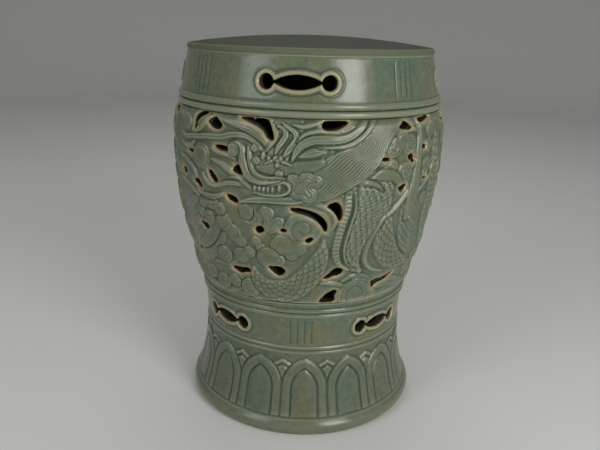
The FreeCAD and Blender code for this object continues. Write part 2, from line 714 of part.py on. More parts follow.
def smooth_line(points, spacing=6.0):
    """Stations along a smooth line through (azimuth, height, half width) points."""
    fine = []
    count = len(points)
    for index in range(count - 1):
        before = points[max(index - 1, 0)]
        start = points[index]
        end = points[index + 1]
        after = points[min(index + 2, count - 1)]
        length = math.hypot(math.radians(end[0] - start[0]) * size("belly_radius"), end[1] - start[1])
        steps = max(1, round(length / spacing))
        for step in range(steps):
            part = step / steps
            fine.append([
                0.5 * (2 * b + (c - a) * part + (2 * a - 5 * b + 4 * c - d) * part ** 2
                       + (3 * b - a - 3 * c + d) * part ** 3)
                for a, b, c, d in zip(before, start, end, after)
            ])
    fine.append(list(points[-1]))
    return fine


def band(points, height=None, spacing=6.0):
    """Domed strip along (azimuth, height above the belly's lower edge, half width) points."""
    height = size("relief") if height is None else height
    stations = smooth_line(points, spacing)
    sections = []
    widest = max(station[2] for station in stations)
    for index, (angle, rise, half) in enumerate(stations):
        before = stations[max(index - 1, 0)]
        after = stations[min(index + 1, len(stations) - 1)]
        z = belly_low + rise * belly_step
        foot, outward, sideways, upward = wall_frame(angle, z)
        run = math.radians(after[0] - before[0]) * belly_radius_at(z)
        climb = (after[1] - before[1]) * belly_step
        length = math.hypot(run, climb)
        across = Vector(sideways).multiply(-climb / length).add(Vector(upward).multiply(run / length))
        lift = size("seat_gap")
        side = min(size("relief_side"), 0.45 * height)
        crown = height * (0.45 + 0.55 * min(1.0, half / min(widest, 4.0)))
        feet = [on_wall(foot.add(Vector(across).multiply(share * half)), outward, lift) for share in (-1, 0, 1)]
        tops = [
            feet[0].add(Vector(outward).multiply(side)),
            feet[1].add(Vector(outward).multiply(crown)),
            feet[2].add(Vector(outward).multiply(side)),
        ]
        edges = [
            Part.Arc(feet[0], feet[1], feet[2]).toShape(),
            Part.makeLine(feet[2], tops[2]),
            Part.Arc(tops[2], tops[1], tops[0]).toShape(),
            Part.makeLine(tops[0], feet[0]),
        ]
        sections.append(Part.Wire(edges))
    return Part.makeLoft(sections, True, False)


def disc(angle, rise, radius, height=None):
    """Round pad, as a band whose width follows a circle."""
    points = []
    for share in (-0.95, -0.8, -0.5, 0.0, 0.5, 0.8, 0.95):
        points.append((angle, rise + share * radius, radius * math.sqrt(1 - share ** 2)))
    return band(points, height, radius)


def scroll(angle, rise, radius, start=0.0, turns=1.2, way=1, height=None):
    """Curl of clay that winds inwards from its outer radius."""
    half = size("scroll_band") * min(1.0, radius / 8.0)
    middle = radius - half
    points = []
    steps = max(6, round(turns * 9))
    shrink = (2.4 * half + 0.6)
    for step in range(steps + 1):
        part = step / steps
        around = math.radians(start) + way * 2 * math.pi * turns * part
        reach = max(middle - shrink * turns * part, 1.1 * half)
        z = belly_low + rise * belly_step
        side = math.degrees(reach * math.cos(around) / belly_radius_at(z))
        points.append((angle + side, rise + reach * math.sin(around), half * (1.0 - 0.35 * part)))
    return band(points, height, 100.0)


def pad(points, height=None):
    """Broad form, as a band with its own widths."""
    return band(points, height, 12.0)


def relief_group(label, solids):
    """Sub-part of like relief pieces, with the copies round the belly."""
    copies = []
    for solid in solids:
        copies += spun(solid, int(size("carving_repeats")))
    return code_shape(label, Part.makeCompound(copies), carving_turn)


def with_half(points, half):
    return [(angle, rise, half) for angle, rise in points]


parts = [
    seat_slab, shoulder_band, shoulder_lips, shoulder_cordon, belly_wall, waist_cordon, waist_band,
    waist_lips, skirt_cordon, foot_skirt, petal_blades, petal_rims, petal_darts, foot_rim,
]

parts.append(relief_group("flaming_pearls", [disc(-44.5, 165, size("pearl_radius"))]))

parts.append(relief_group("pearl_flames", [
    band([(-48, 184, 1.6), (-43, 189.5, 2.8), (-37, 188, 3), (-31, 190.5, 3), (-25.5, 194.5, 3),
          (-20.5, 192.5, 2.6), (-17.8, 186, 2.2), (-17, 179, 1.2)]),
    band([(-32, 209, 1.6), (-29, 205, 3), (-24, 202, 3.2), (-18.8, 197, 3), (-15.6, 190, 2.4),
          (-14.9, 183, 1.2)]),
    band([(-37.5, 171, 1.4), (-33.5, 169, 2.4), (-29.5, 166.5, 1.4)]),
    band([(-38.2, 159, 1.4), (-34.5, 157.5, 2.8), (-31, 152, 2.8), (-27.3, 147, 2.6), (-24.5, 145, 1.4)]),
    band([(-44.2, 146, 1.4), (-42.8, 139.5, 2.4), (-40.3, 134, 2.6), (-36.5, 132.5, 1.4)]),
    band([(-46, 192.5, 1.4), (-45.2, 197.5, 2.4), (-43.2, 204, 2.6), (-40.2, 209.5, 1.6)]),
    band([(-60, 161, 1.4), (-55.5, 158, 2.8), (-51.6, 152.5, 3), (-48.6, 145, 2.6), (-47.4, 140.5, 1.2)]),
    band([(-60, 176, 1.2), (-56.5, 173, 2.2), (-51.5, 174, 1.2)]),
]))

parts.append(relief_group("dragon_snouts", [
    band([(-27.4, 177.5, 1.3), (-26.2, 175.3, 1.8), (-25.1, 178, 2.2), (-26.6, 182.3, 2.4), (-29.1, 181.5, 2.4)],
         None, 3.0),
    band([(-26.4, 188, 1.6), (-23.2, 186.5, 2.7), (-21.5, 179, 3), (-21.5, 170, 3), (-21.4, 160, 3),
          (-19, 152.5, 3), (-14, 150.2, 2.8), (-8.6, 151, 2.6), (-5.6, 147, 2.4), (-6, 141.3, 2),
          (-8.6, 140.3, 1.4)]),
    band([(-17.8, 172, 1.2), (-18, 165, 2.4), (-16.2, 158.6, 2.4), (-12, 157, 2.2), (-7.5, 158, 1.2)]),
]))

parts.append(relief_group("dragon_teeth", [
    band([(angle, 145, 2.3), (angle, 141, 2.3), (angle + 0.3, 137, 1.0)], 0.7 * size("relief"), 3.0)
    for angle in (-19.3, -17.1, -14.9, -12.7)
]))

parts.append(relief_group("dragon_jaws", [
    band([(-35, 138, 1.4), (-31, 137.5, 2.6), (-25, 133.5, 3), (-18.5, 131, 3), (-11.5, 130.5, 3),
          (-6.2, 132.5, 2.2), (-4.8, 136, 1.2)]),
    band([(-24, 127.6, 1.4), (-19, 124.2, 2.4), (-12, 123, 2.6), (-6.5, 125, 2.4), (0, 128, 1.4)]),
]))

parts.append(relief_group("dragon_jowls", [
    disc(1.2, 151, 7.5),
    disc(0.2, 137.2, 5.0),
]))

parts.append(relief_group("dragon_ears", [
    pad([(-0.8, 167, 1.5), (0.6, 172, 4.5), (2.4, 179, 5.5), (4, 184.6, 2)]),
]))

parts.append(relief_group("dragon_horns", [
    band([(-5.6, 177, 2), (-4, 186, 3.2), (0, 194.5, 3.6), (5, 196.6, 3.6), (10, 196, 3.4), (14.5, 200, 3),
          (18, 206, 2.4), (19.6, 210.5, 1.4)]),
    band([(6.2, 188.6, 1.6), (11, 187, 2.8), (15.5, 190.5, 3), (19.3, 197, 2.8), (22.6, 205, 2.2),
          (24, 209.5, 1.2)]),
]))

parts.append(relief_group("dragon_forelocks", [
    band([(-12.6, 176, 1.4), (-10.6, 184, 3), (-11.1, 193, 3.2), (-10.7, 202, 3), (-12.4, 209, 1.4)]),
    band([(-8.8, 174, 1.4), (-7.7, 184, 2.7), (-7.7, 194, 3), (-7.7, 202, 2.8), (-9, 209, 1.4)]),
    band([(-4.3, 195, 1.4), (-4, 202, 3), (-5.4, 209, 1.4)]),
    band([(-1.6, 202.5, 1.4), (0.6, 206.8, 2.6), (3.4, 210, 1.2)]),
]))


# Half width of a mane strand as a share of the distance between strands, along it and at its ends
MANE_BODY = 0.19
MANE_TIP = 0.15


def mane_strands():
    """Combed strands that run side by side between the mane's upper and lower edges."""
    upper = [(9, 180), (15, 181), (20, 187.5), (24, 197), (27.3, 208)]
    lower = [(7, 138), (12.6, 149), (20, 155.6), (25.6, 166), (28.3, 180), (30, 195), (32.2, 208)]
    strands = 6
    stations = 6
    solids = []
    for strand in range(strands):
        share = strand / (strands - 1)
        line = []
        for station in range(stations):
            part = station / (stations - 1)
            ends = []
            for edge in (upper, lower):
                place = part * (len(edge) - 1)
                index = min(int(place), len(edge) - 2)
                rest = place - index
                ends.append([a + (b - a) * rest for a, b in zip(edge[index], edge[index + 1])])
            angle = ends[0][0] + (ends[1][0] - ends[0][0]) * share
            rise = ends[0][1] + (ends[1][1] - ends[0][1]) * share
            gap = math.hypot(math.radians(ends[1][0] - ends[0][0]) * size("belly_radius"),
                             ends[1][1] - ends[0][1]) / (strands - 1)
            share_of_gap = MANE_BODY if 0 < station < stations - 1 else MANE_TIP
            line.append((angle, rise, share_of_gap * gap))
        solids.append(band(line, None, 12.0))
    return solids


parts.append(relief_group("dragon_manes", mane_strands()))

parts.append(relief_group("dragon_beards", [
    band([(angle, 121 - drop, 1.3), (angle + 0.3, 113 - drop, 2.1), (angle + 1.2, 104 - drop, 1.2)],
         0.7 * size("relief"))
    for angle, drop in ((-25.6, 0.0), (-23.6, 0.5), (-21.6, 1.5))
]))

chest_line = [(27.5, 134, 23.5), (26.5, 120, 22), (24.5, 100, 19.5), (22.5, 82, 16.5), (21.3, 68, 14.5),
              (22.8, 55, 11.5), (27, 45, 7)]
parts.append(relief_group("dragon_chests", [pad(chest_line, size("relief") + 1)]))


def belly_plate_solids():
    """Ribs across the band that runs down the chest's front edge."""
    line = smooth_line([(16.3, 134, 4.5), (16.1, 120, 4.5), (15, 100, 4.5), (13.9, 82, 4.5), (13.2, 68, 4.2),
                        (14.4, 57, 3.6)], 1.0)
    solids = []
    travelled = 0.0
    step = size("plate_length") + size("plate_gap")
    target = 0.0
    for before, after in zip(line, line[1:]):
        run = math.radians(after[0] - before[0]) * size("belly_radius")
        climb = after[1] - before[1]
        travelled += math.hypot(run, climb)
        if travelled < target:
            continue
        target += step
        length = math.hypot(run, climb)
        angle, rise, half = after
        reach = math.degrees(half / size("belly_radius"))
        ends = [(angle + side * reach * -climb / length, rise + side * half * run / length,
                 size("plate_length") / 2) for side in (-1, 0, 1)]
        solids.append(band(ends, 0.8 * size("relief"), 20.0))
    return solids


parts.append(relief_group("belly_plates", belly_plate_solids()))

parts.append(relief_group("dragon_body_loops", [
    pad([(7.6, 82, 4), (6.6, 70, 7.5), (4.6, 54, 10.5), (1, 37, 12.5), (-5, 23.5, 13), (-12, 20, 13),
         (-18.5, 25, 10.5), (-21.6, 36, 6), (-22, 46, 2.5)], size("relief") - 1),
]))

parts.append(relief_group("dragon_haunches", [
    pad([(37, 100, 6), (37, 87, 13), (37.4, 72, 16), (40.5, 58, 14.5), (46, 49, 10.5), (52, 44, 5)],
        size("relief") - 0.5),
]))

parts.append(relief_group("dragon_limbs", [
    band([(44.7, 104, 3.4), (44.8, 110, 6.2), (45.1, 118, 7), (46.3, 131, 6.6), (47.7, 147, 5.8), (48.4, 163, 4.6),
          (48.2, 176, 3.2), (47.8, 187, 2.4), (47, 196, 1.4)], None, 12.0),
]))

parts.append(relief_group("shoulder_flames", [
    band([(35.6, 142, 1.4), (35, 150, 2.6), (31.4, 157.5, 2.8), (28, 158.6, 1.4)]),
    band([(32.6, 139.5, 1.4), (31.6, 146, 2.6), (28.6, 151.5, 2.6), (26, 153, 1.2)]),
    band([(28, 139.5, 1.4), (25.5, 145, 2.6), (21.5, 148, 2.6), (17.5, 147, 1.2)]),
]))

parts.append(relief_group("dragon_backs", [
    pad([(60, 196, 3), (60.5, 184, 7), (61.5, 165, 10), (62, 146, 11.5), (61.5, 127, 12.5), (61, 107, 13),
         (61.5, 88, 12), (64, 71, 10), (68.5, 58, 8)], size("relief")),
]))

parts.append(relief_group("dragon_tails", [
    pad([(73.5, 52, 7), (80, 53, 7), (86.5, 60, 6.4), (90, 73, 5.8), (88.4, 87, 5), (83.5, 94, 4), (79.6, 90, 2.4)],
        size("relief")),
    band([(93, 90, 1.4), (93.5, 99, 2.8), (90.6, 107, 2.8), (86, 110, 1.4)]),
    band([(84, 101, 1.4), (80, 104, 2.6), (76.5, 109, 1.4)]),
]))

parts.append(relief_group("upper_cloud_scrolls", [
    scroll(34.8, 185, 8.5, 200, 1.15, -1),
    scroll(41.9, 185, 8.5, -20, 1.15, 1),
    scroll(40.2, 154.5, 7.6, 30, 1.15, 1),
    scroll(-54.5, 189, 7.5, 20, 1.2, 1),
    scroll(-57.5, 200, 5.0, 200, 1.0, -1),
    scroll(55.6, 196, 7.5, 160, 1.2, -1),
    scroll(73.5, 185, 9.0, 200, 1.2, -1),
    scroll(81, 188, 9.5, -20, 1.2, 1),
    scroll(93, 196, 9.5, 200, 1.2, -1),
    scroll(100.5, 187, 9.5, -20, 1.2, 1),
    scroll(108.5, 180, 8.5, 100, 1.2, -1),
    scroll(77, 168, 8.0, 100, 1.1, 1),
]))

parts.append(relief_group("middle_cloud_scrolls", [
    scroll(-0.6, 99, 15.5, 60, 2.2, 1),
    scroll(-15.8, 112, 6.5, 0, 1.2, -1),
    scroll(-11, 104.5, 5.0, 180, 1.0, 1),
    scroll(-34.2, 95, 7.5, 90, 1.2, -1),
    scroll(-41, 94, 7.0, 90, 1.2, 1),
    scroll(-28.6, 79, 8.5, 60, 1.3, -1),
    scroll(-21.8, 83, 5.5, 0, 1.1, 1),
    scroll(-37.6, 117, 9.5, 0, 1.3, 1),
    scroll(-52, 112, 9.0, 0, 1.3, -1),
    scroll(52.2, 120, 6.0, 0, 1.1, -1),
    scroll(79, 144, 9.0, 200, 1.3, -1),
    scroll(88, 145, 8.5, -20, 1.3, 1),
    scroll(101, 160, 9.5, 0, 1.3, 1),
    scroll(104.5, 132, 9.0, 90, 1.3, -1),
    scroll(112, 152, 8.0, 90, 1.2, 1),
    scroll(101, 108, 8.0, 0, 1.3, -1),
    scroll(103, 88, 8.5, 0, 1.3, 1),
]))

parts.append(relief_group("lower_cloud_scrolls", [
    scroll(-13.2, 62.5, 9.5, 200, 1.5, -1),
    scroll(-5, 64, 7.2, -20, 1.3, 1),
    scroll(-8.4, 81, 6.5, 90, 1.1, -1),
    scroll(-21.6, 62.5, 7.5, 90, 1.2, 1),
    scroll(-42, 15.5, 9.0, 20, 1.3, 1),
    scroll(-33, 18, 8.5, 160, 1.3, -1),
    scroll(-50.5, 24, 8.0, 20, 1.2, 1),
    scroll(-40, 54, 9.5, 30, 1.3, 1),
    scroll(-31.6, 57, 8.5, 30, 1.3, -1),
    scroll(25, 14.5, 9.0, 90, 1.4, 1),
    band([(16.8, 26, 1.4), (20, 34, 3), (25, 37, 3.2), (29, 32, 3), (31, 23, 1.4)]),
    band([(35, 12, 1.4), (39, 17, 2.6), (44, 19, 2.6), (50, 21, 1.4)]),
    band([(36, 5, 1.4), (41, 9, 2.4), (47, 9, 2.4), (53, 12, 1.4)]),
    scroll(58, 28, 8.5, 20, 1.3, 1),
    scroll(64.6, 17, 7.5, 160, 1.2, -1),
    scroll(63, 40, 6.0, 90, 1.1, 1),
    scroll(76, 34, 8.0, 160, 1.3, -1),
    scroll(91, 30, 10.0, 20, 1.3, 1),
    scroll(99.6, 20, 8.5, 160, 1.3, -1),
    scroll(108, 19, 8.0, 20, 1.3, 1),
    scroll(113.5, 60, 8.5, 90, 1.3, -1),
    scroll(102, 63, 8.0, 0, 1.2, 1),
]))

doc.recompute()

# Every object of the document has to stand before anything is written.
faults = []
for item in doc.Objects:
    if "Invalid" in item.State or "Error" in item.State:
        faults.append("%s: %s" % (item.Label, item.State))
for piece in parts:
    if piece.Shape.isNull() or not piece.Shape.isValid() or not piece.Shape.Solids:
        faults.append("%s: shape not sound" % piece.Label)
    for solid in piece.Shape.Solids:
        if solid.Volume <= 0:
            faults.append("%s: a solid is inside out" % piece.Label)
if faults:
    raise RuntimeError("; ".join(faults))

os.makedirs("parts", exist_ok=True)
for piece in parts:
    piece.Shape.exportStep("parts/%s.step" % piece.Label)
    print("%-24s %4d solids %12.1f mm3" % (piece.Label, len(piece.Shape.Solids), piece.Shape.Volume))
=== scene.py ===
import functools
import math

import bpy
import numpy as np
from bpy.props import FloatProperty, FloatVectorProperty, IntProperty, PointerProperty
from mathutils import Matrix, Vector


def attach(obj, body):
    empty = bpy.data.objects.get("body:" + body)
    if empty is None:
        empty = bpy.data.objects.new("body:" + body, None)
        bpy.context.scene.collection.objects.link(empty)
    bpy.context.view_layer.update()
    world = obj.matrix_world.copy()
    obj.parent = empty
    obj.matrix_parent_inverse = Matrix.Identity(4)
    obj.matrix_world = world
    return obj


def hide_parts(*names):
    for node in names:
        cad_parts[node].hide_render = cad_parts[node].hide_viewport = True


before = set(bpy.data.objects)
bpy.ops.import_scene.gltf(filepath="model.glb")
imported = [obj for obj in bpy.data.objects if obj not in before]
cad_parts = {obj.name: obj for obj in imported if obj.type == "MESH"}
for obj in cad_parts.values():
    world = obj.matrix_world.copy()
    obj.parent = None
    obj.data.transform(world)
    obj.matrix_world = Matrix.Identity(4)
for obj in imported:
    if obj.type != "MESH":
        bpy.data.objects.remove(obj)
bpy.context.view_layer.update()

bl_info = {
    "name": "Carved celadon garden stool",
    "version": (1, 0, 0),
    "blender": (4, 5, 0),
    "location": "View3D > Sidebar > Garden Stool",
    "description": "Glazed, pierced and carved dress for a drum-shaped ceramic garden stool",
    "category": "Object",
}

# The geometry is worked out in millimetres and turned to metres when a mesh is made.
# Angles are degrees round the stool: 0 is the middle of the front hand opening, at -Y, and +90 is at +X.
MM = 0.001
FAR = 1.0e3

# Heights of the clay sections
FOOT_TOP = 21.0
SKIRT_TOP = 100.0
WAIST_LOW = 110.0
WAIST_TOP = 148.0
BELLY_LOW = 168.0
BELLY_TOP = 381.0
SHOULDER_LOW = 397.0
SHOULDER_TOP = 441.0
SEAT_EDGE_TOP = 449.0
SEAT_TOP = 460.0

# The carving goes twice round, and starts this far from the front opening's middle
CARVING_TURN = 4.5
CARVING_SWEEP = 180.0


def linear(code):
    """Linear colour of an sRGB hex code."""
    values = [int(code[place:place + 2], 16) / 255 for place in (1, 3, 5)]
    return [v / 12.92 if v <= 0.04045 else ((v + 0.055) / 1.055) ** 2.4 for v in values]


def colour(name, code, description):
    return FloatVectorProperty(name=name, description=description, subtype="COLOR", size=3, min=0, max=1,
                               default=linear(code))


def length(name, millimetres, description):
    return FloatProperty(name=name, description=description, subtype="DISTANCE", unit="LENGTH", min=0,
                         default=millimetres * MM)


class StoolSizes(bpy.types.PropertyGroup):
    relief: length("Relief height", 6.4, "How far the dragon and the clouds stand off the wall")
    wall: length("Wall thickness", 11.0, "Thickness of the pierced wall")
    hole_edge: length("Hole edge radius", 2.0, "Rounding of the edges of the pierced holes")
    strand: length("Strand pitch", 2.7, "Distance between combed grooves in manes, flames and ground")
    scale: length("Scale pitch", 7.0, "Length of one dragon scale")
    lip: length("Lip height", 1.9, "How far the rolls round the hand openings stand out")
    petal: length("Petal relief", 2.0, "How far the lotus petals stand off the foot")
    petals: IntProperty(name="Petals", description="Number of lotus petals round the foot", default=15, min=3)
    waver: length("Hand waver", 0.28, "Unevenness left by the potter's hands")


class StoolColours(bpy.types.PropertyGroup):
    body: colour("Glaze", "#5e6757", "Celadon glaze at its usual thickness")
    pooled: colour("Pooled glaze", "#364737", "Glaze that has run thick into the grooves")
    thin: colour("Thin glaze", "#858a72", "Glaze that has drawn thin over the ridges")
    edge: colour("Bare edge", "#a4956f", "Clay that shows through at cut edges")
    # Bare clay inside, on the hole walls and on the foot's ring is real, but its colour is painted dark as
    # shade
    clay: colour("Fired clay", "#2b241c", "Unglazed clay inside, darkened by painted_shade")
    # The seat's glaze is the walls' celadon painted darker as shade on its top
    seat: colour("Seat glaze", "#42483d", "Glaze of the seat")
    floor: colour("Floor", "#d9d8d4", "Studio floor and backdrop")


def sizes():
    return bpy.context.scene.stool_sizes


def colours():
    return bpy.context.scene.stool_colours


def mm(value):
    return value / MM


# Outer radii of the plain clay
WAIST_RADIUS, NARROW_Z, HOLLOW_CURVE = 127.8, 97.0, 429.1
BELLY_RADIUS, CREST_Z, CREST_CURVE = 160.0, 330.0, 430.0
TURN_Z = 213.38
SKIRT_CURVE = 225.4
SHOULDER_FOOT, SEAT_RADIUS = 155.0, 146.5


def drum_radius(z):
    """Waist and belly: a hollow curve that turns into a full one."""
    hollow = WAIST_RADIUS + HOLLOW_CURVE - np.sqrt(HOLLOW_CURVE ** 2 - (z - NARROW_Z) ** 2)
    full = BELLY_RADIUS - CREST_CURVE + np.sqrt(CREST_CURVE ** 2 - (z - CREST_Z) ** 2)
    return np.where(z < TURN_Z, hollow, full)


def skirt_radius(z):
    return WAIST_RADIUS + SKIRT_CURVE - np.sqrt(SKIRT_CURVE ** 2 - (z - NARROW_Z) ** 2)


def shoulder_radius(z):
    return SHOULDER_FOOT + (SEAT_RADIUS - SHOULDER_FOOT) * (z - SHOULDER_LOW) / (SHOULDER_TOP - SHOULDER_LOW)


# Waves that a potter's hands leave: (share, how many go round, where they start, how they lean with height)
HAND_WAVES = ((0.5, 2, 0.7, 90), (0.3, 5, 2.1, -47), (0.2, 11, 4.0, 23))


def waver(angle, z):
    """Slow unevenness of thrown clay, the same on every section so that they still meet."""
    turn = np.radians(angle)
    return mm(sizes().waver) * sum(
        share * np.sin(count * turn + start + z / lean) for share, count, start, lean in HAND_WAVES)


# Meshes
def blurred(values, sigma, wraps=True):
    """Gaussian blur of a grid that closes on itself sideways."""
    reach = int(3 * sigma) + 1
    weights = np.exp(-0.5 * (np.arange(-reach, reach + 1) / sigma) ** 2)
    weights /= weights.sum()
    rows = np.pad(values, ((reach, reach), (0, 0)), mode="edge")
    down = sum(weight * rows[step:step + values.shape[0]] for step, weight in enumerate(weights))
    if wraps:
        sides = np.pad(down[:, :-1], ((0, 0), (reach, reach)), mode="wrap")
        across = sum(weight * sides[:, step:step + values.shape[1] - 1] for step, weight in enumerate(weights))
        return np.concatenate([across, across[:, :1]], axis=1)
    sides = np.pad(down, ((0, 0), (reach, reach)), mode="edge")
    return sum(weight * sides[:, step:step + values.shape[1]] for step, weight in enumerate(weights))


def mesh_object(name, points, faces, attributes, material, normals=None):
    """Object from points in mm, faces as a list of equal or mixed rings, and values per point."""
    loops = np.concatenate([np.asarray(face, np.int64).ravel() for face in faces])
    counts = np.concatenate([
        np.full(len(face), face.shape[1]) if isinstance(face, np.ndarray) else np.array([len(face)])
        for face in faces])
    used, renumbered = np.unique(loops, return_inverse=True)
    mesh = bpy.data.meshes.new(name)
    mesh.vertices.add(len(used))
    mesh.vertices.foreach_set("co", (points[used] * MM).astype(np.float32).ravel())
    mesh.loops.add(len(loops))
    mesh.loops.foreach_set("vertex_index", renumbered.astype(np.int32).ravel())
    mesh.polygons.add(len(counts))
    mesh.polygons.foreach_set("loop_start", (np.cumsum(counts) - counts).astype(np.int32))
    mesh.polygons.foreach_set("use_smooth", np.ones(len(counts), bool))
    mesh.update(calc_edges=True)
    for label, values in attributes.items():
        layer = mesh.attributes.new(label, "FLOAT", "POINT")
        layer.data.foreach_set("value", values[used].astype(np.float32))
    if normals is not None:
        mesh.normals_split_custom_set(normals.astype(np.float32))
    mesh.materials.append(material)
    piece = bpy.data.objects.new(name, mesh)
    bpy.context.collection.objects.link(piece)
    return piece


def dress(piece, slot, *nodes):
    """The piece rides on the stool and stands for these clay nodes."""
    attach(piece, "root")
    if nodes:
        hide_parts(*nodes)
    return piece


def place(angle, radius, z):
    turn = np.radians(angle)
    return np.stack([radius * np.sin(turn), -radius * np.cos(turn), z], axis=-1)


# Turned sections: a closed outline goes round the axis
def arc(start, end, rise, steps=8):
    """Points from start to end that bow out by rise to the right of the way, without the last."""
    (r0, z0), (r1, z1) = start, end
    chord = math.hypot(r1 - r0, z1 - z0)
    radius = (chord ** 2 / 4 + rise ** 2) / (2 * rise)
    half = 2 * math.atan2(2 * rise, chord)
    points = []
    for step in range(steps):
        turn = -half + 2 * half * step / steps
        along = chord / 2 + radius * math.sin(turn)
        out = radius * math.cos(turn) - (radius - rise)
        points.append((r0 + (r1 - r0) * along / chord + (z1 - z0) * out / chord,
                       z0 + (z1 - z0) * along / chord - (r1 - r0) * out / chord))
    return points


def fine_outline(outline, step):
    """Outline with points added so that none lie further apart than step."""
    points = []
    for (r0, z0), (r1, z1) in zip(outline, outline[1:] + outline[:1]):
        count = max(1, math.ceil(math.hypot(r1 - r0, z1 - z0) / step))
        if r0 == 0 and r1 == 0:
            count = 1
        points += [(r0 + (r1 - r0) * part / count, z0 + (z1 - z0) * part / count) for part in range(count)]
    return np.array(points)


TURNED_COLUMNS = 288
# No glaze pools this near the axis, and this many points each way tell how hollow an outline is
POLE_RADIUS = 15
HOLLOW_REACH = 4
CREASE = math.radians(50)


def turned(name, outline, material, inner_radius, step):
    """Lathe piece. Points nearer the axis than inner_radius(z) are bare clay."""
    columns, reach = TURNED_COLUMNS, HOLLOW_REACH
    line = fine_outline(outline, step)
    count = len(line)
    angle = 360.0 * np.arange(columns) / columns
    turn, radius = np.meshgrid(angle, line[:, 0])
    z = np.repeat(line[:, 1][:, None], columns, axis=1)
    uneven = np.where(radius > 0, waver(turn, z), 0)
    grid = np.arange(count * columns).reshape(count, columns)
    poles = np.nonzero(line[:, 0] == 0)[0]
    for pole in poles:
        grid[pole] = grid[pole, 0]
    after = np.roll(grid, -1, axis=1)
    nexts = np.roll(grid, -1, axis=0)
    both = np.roll(after, -1, axis=0)
    quads = np.stack([grid, after, both, nexts], axis=-1)
    faces = []
    for row in range(count):
        ends = (row in poles, (row + 1) % count in poles)
        if all(ends):
            continue
        if ends[0]:
            faces.append(quads[row][:, [0, 2, 3]])
        elif ends[1]:
            faces.append(quads[row][:, [0, 1, 2]])
        else:
            faces.append(quads[row])
    around = np.concatenate([line[-reach:], line, line[:reach]])
    mean = np.stack([np.convolve(around[:, axis], np.ones(2 * reach + 1) / (2 * reach + 1), "valid")
                     for axis in (0, 1)], axis=-1)
    tangent = np.roll(line, -1, axis=0) - np.roll(line, 1, axis=0)
    outward = np.stack([tangent[:, 1], -tangent[:, 0]], axis=-1)
    outward /= np.linalg.norm(outward, axis=1)[:, None] + 1e-9
    hollow = np.where(line[:, 0] > POLE_RADIUS, ((mean - line) * outward).sum(axis=1), 0)
    # Points within inner_radius are bare clay, which the glaze paints dark as shade
    raw = np.array([1.0 if r < inner_radius(z) else 0.0 for r, z in line])
    spread = np.repeat(hollow[:, None], columns, axis=1).ravel()
    bare = np.repeat(raw[:, None], columns, axis=1).ravel()
    points = place(turn, radius + uneven, z).reshape(-1, 3)
    values = {"pool": spread, "rim": 0 * spread, "raw": bare}
    piece = mesh_object(name, points, faces, values, material)
    piece.data.set_sharp_from_angle(angle=CREASE)
    return piece


# Carved sections: the outer face is laid out flat, on columns round it and rows up it
GROUND = 0
MARGIN = 12.0

# The ground lies this share of the relief's height above the plain wall, and every form is outlined by a groove
GROUND_SHARE = 0.68
OUTLINE_DEPTH = 1.05
OUTLINE_WIDTH = 1.05
OUTLINE_REACH = 3.0

# Glaze pools where the clay lies below its blurred self: (strength, blur in grid steps)
POOL_NEAR = (1.1, 2.2)
POOL_WIDE = (0.35, 6.0)
# Where two forms meet, their heights run together over a few grid steps
MEETING_BLUR = 1.3
MEETING_GAIN = 2.5
MEETING_EASE = 1.2
# A grid point this near a hole's edge, as a share of the grid's step, is moved onto it
SNAP = 0.56
LEAST_SLOPE = 0.2
FIELD = 9.0

# Bare edges fade out this far from a hole, in mm
EDGE_FADE = 3.4
# Relief reaches this far under the wall's face, and faces that nobody sees are joined in blocks of cells
SINK = 0.8
WALL_BLOCK = 8
RELIEF_BLOCK = 4


def outline_groove(away):
    return OUTLINE_DEPTH * np.exp(-(away / OUTLINE_WIDTH) ** 2)


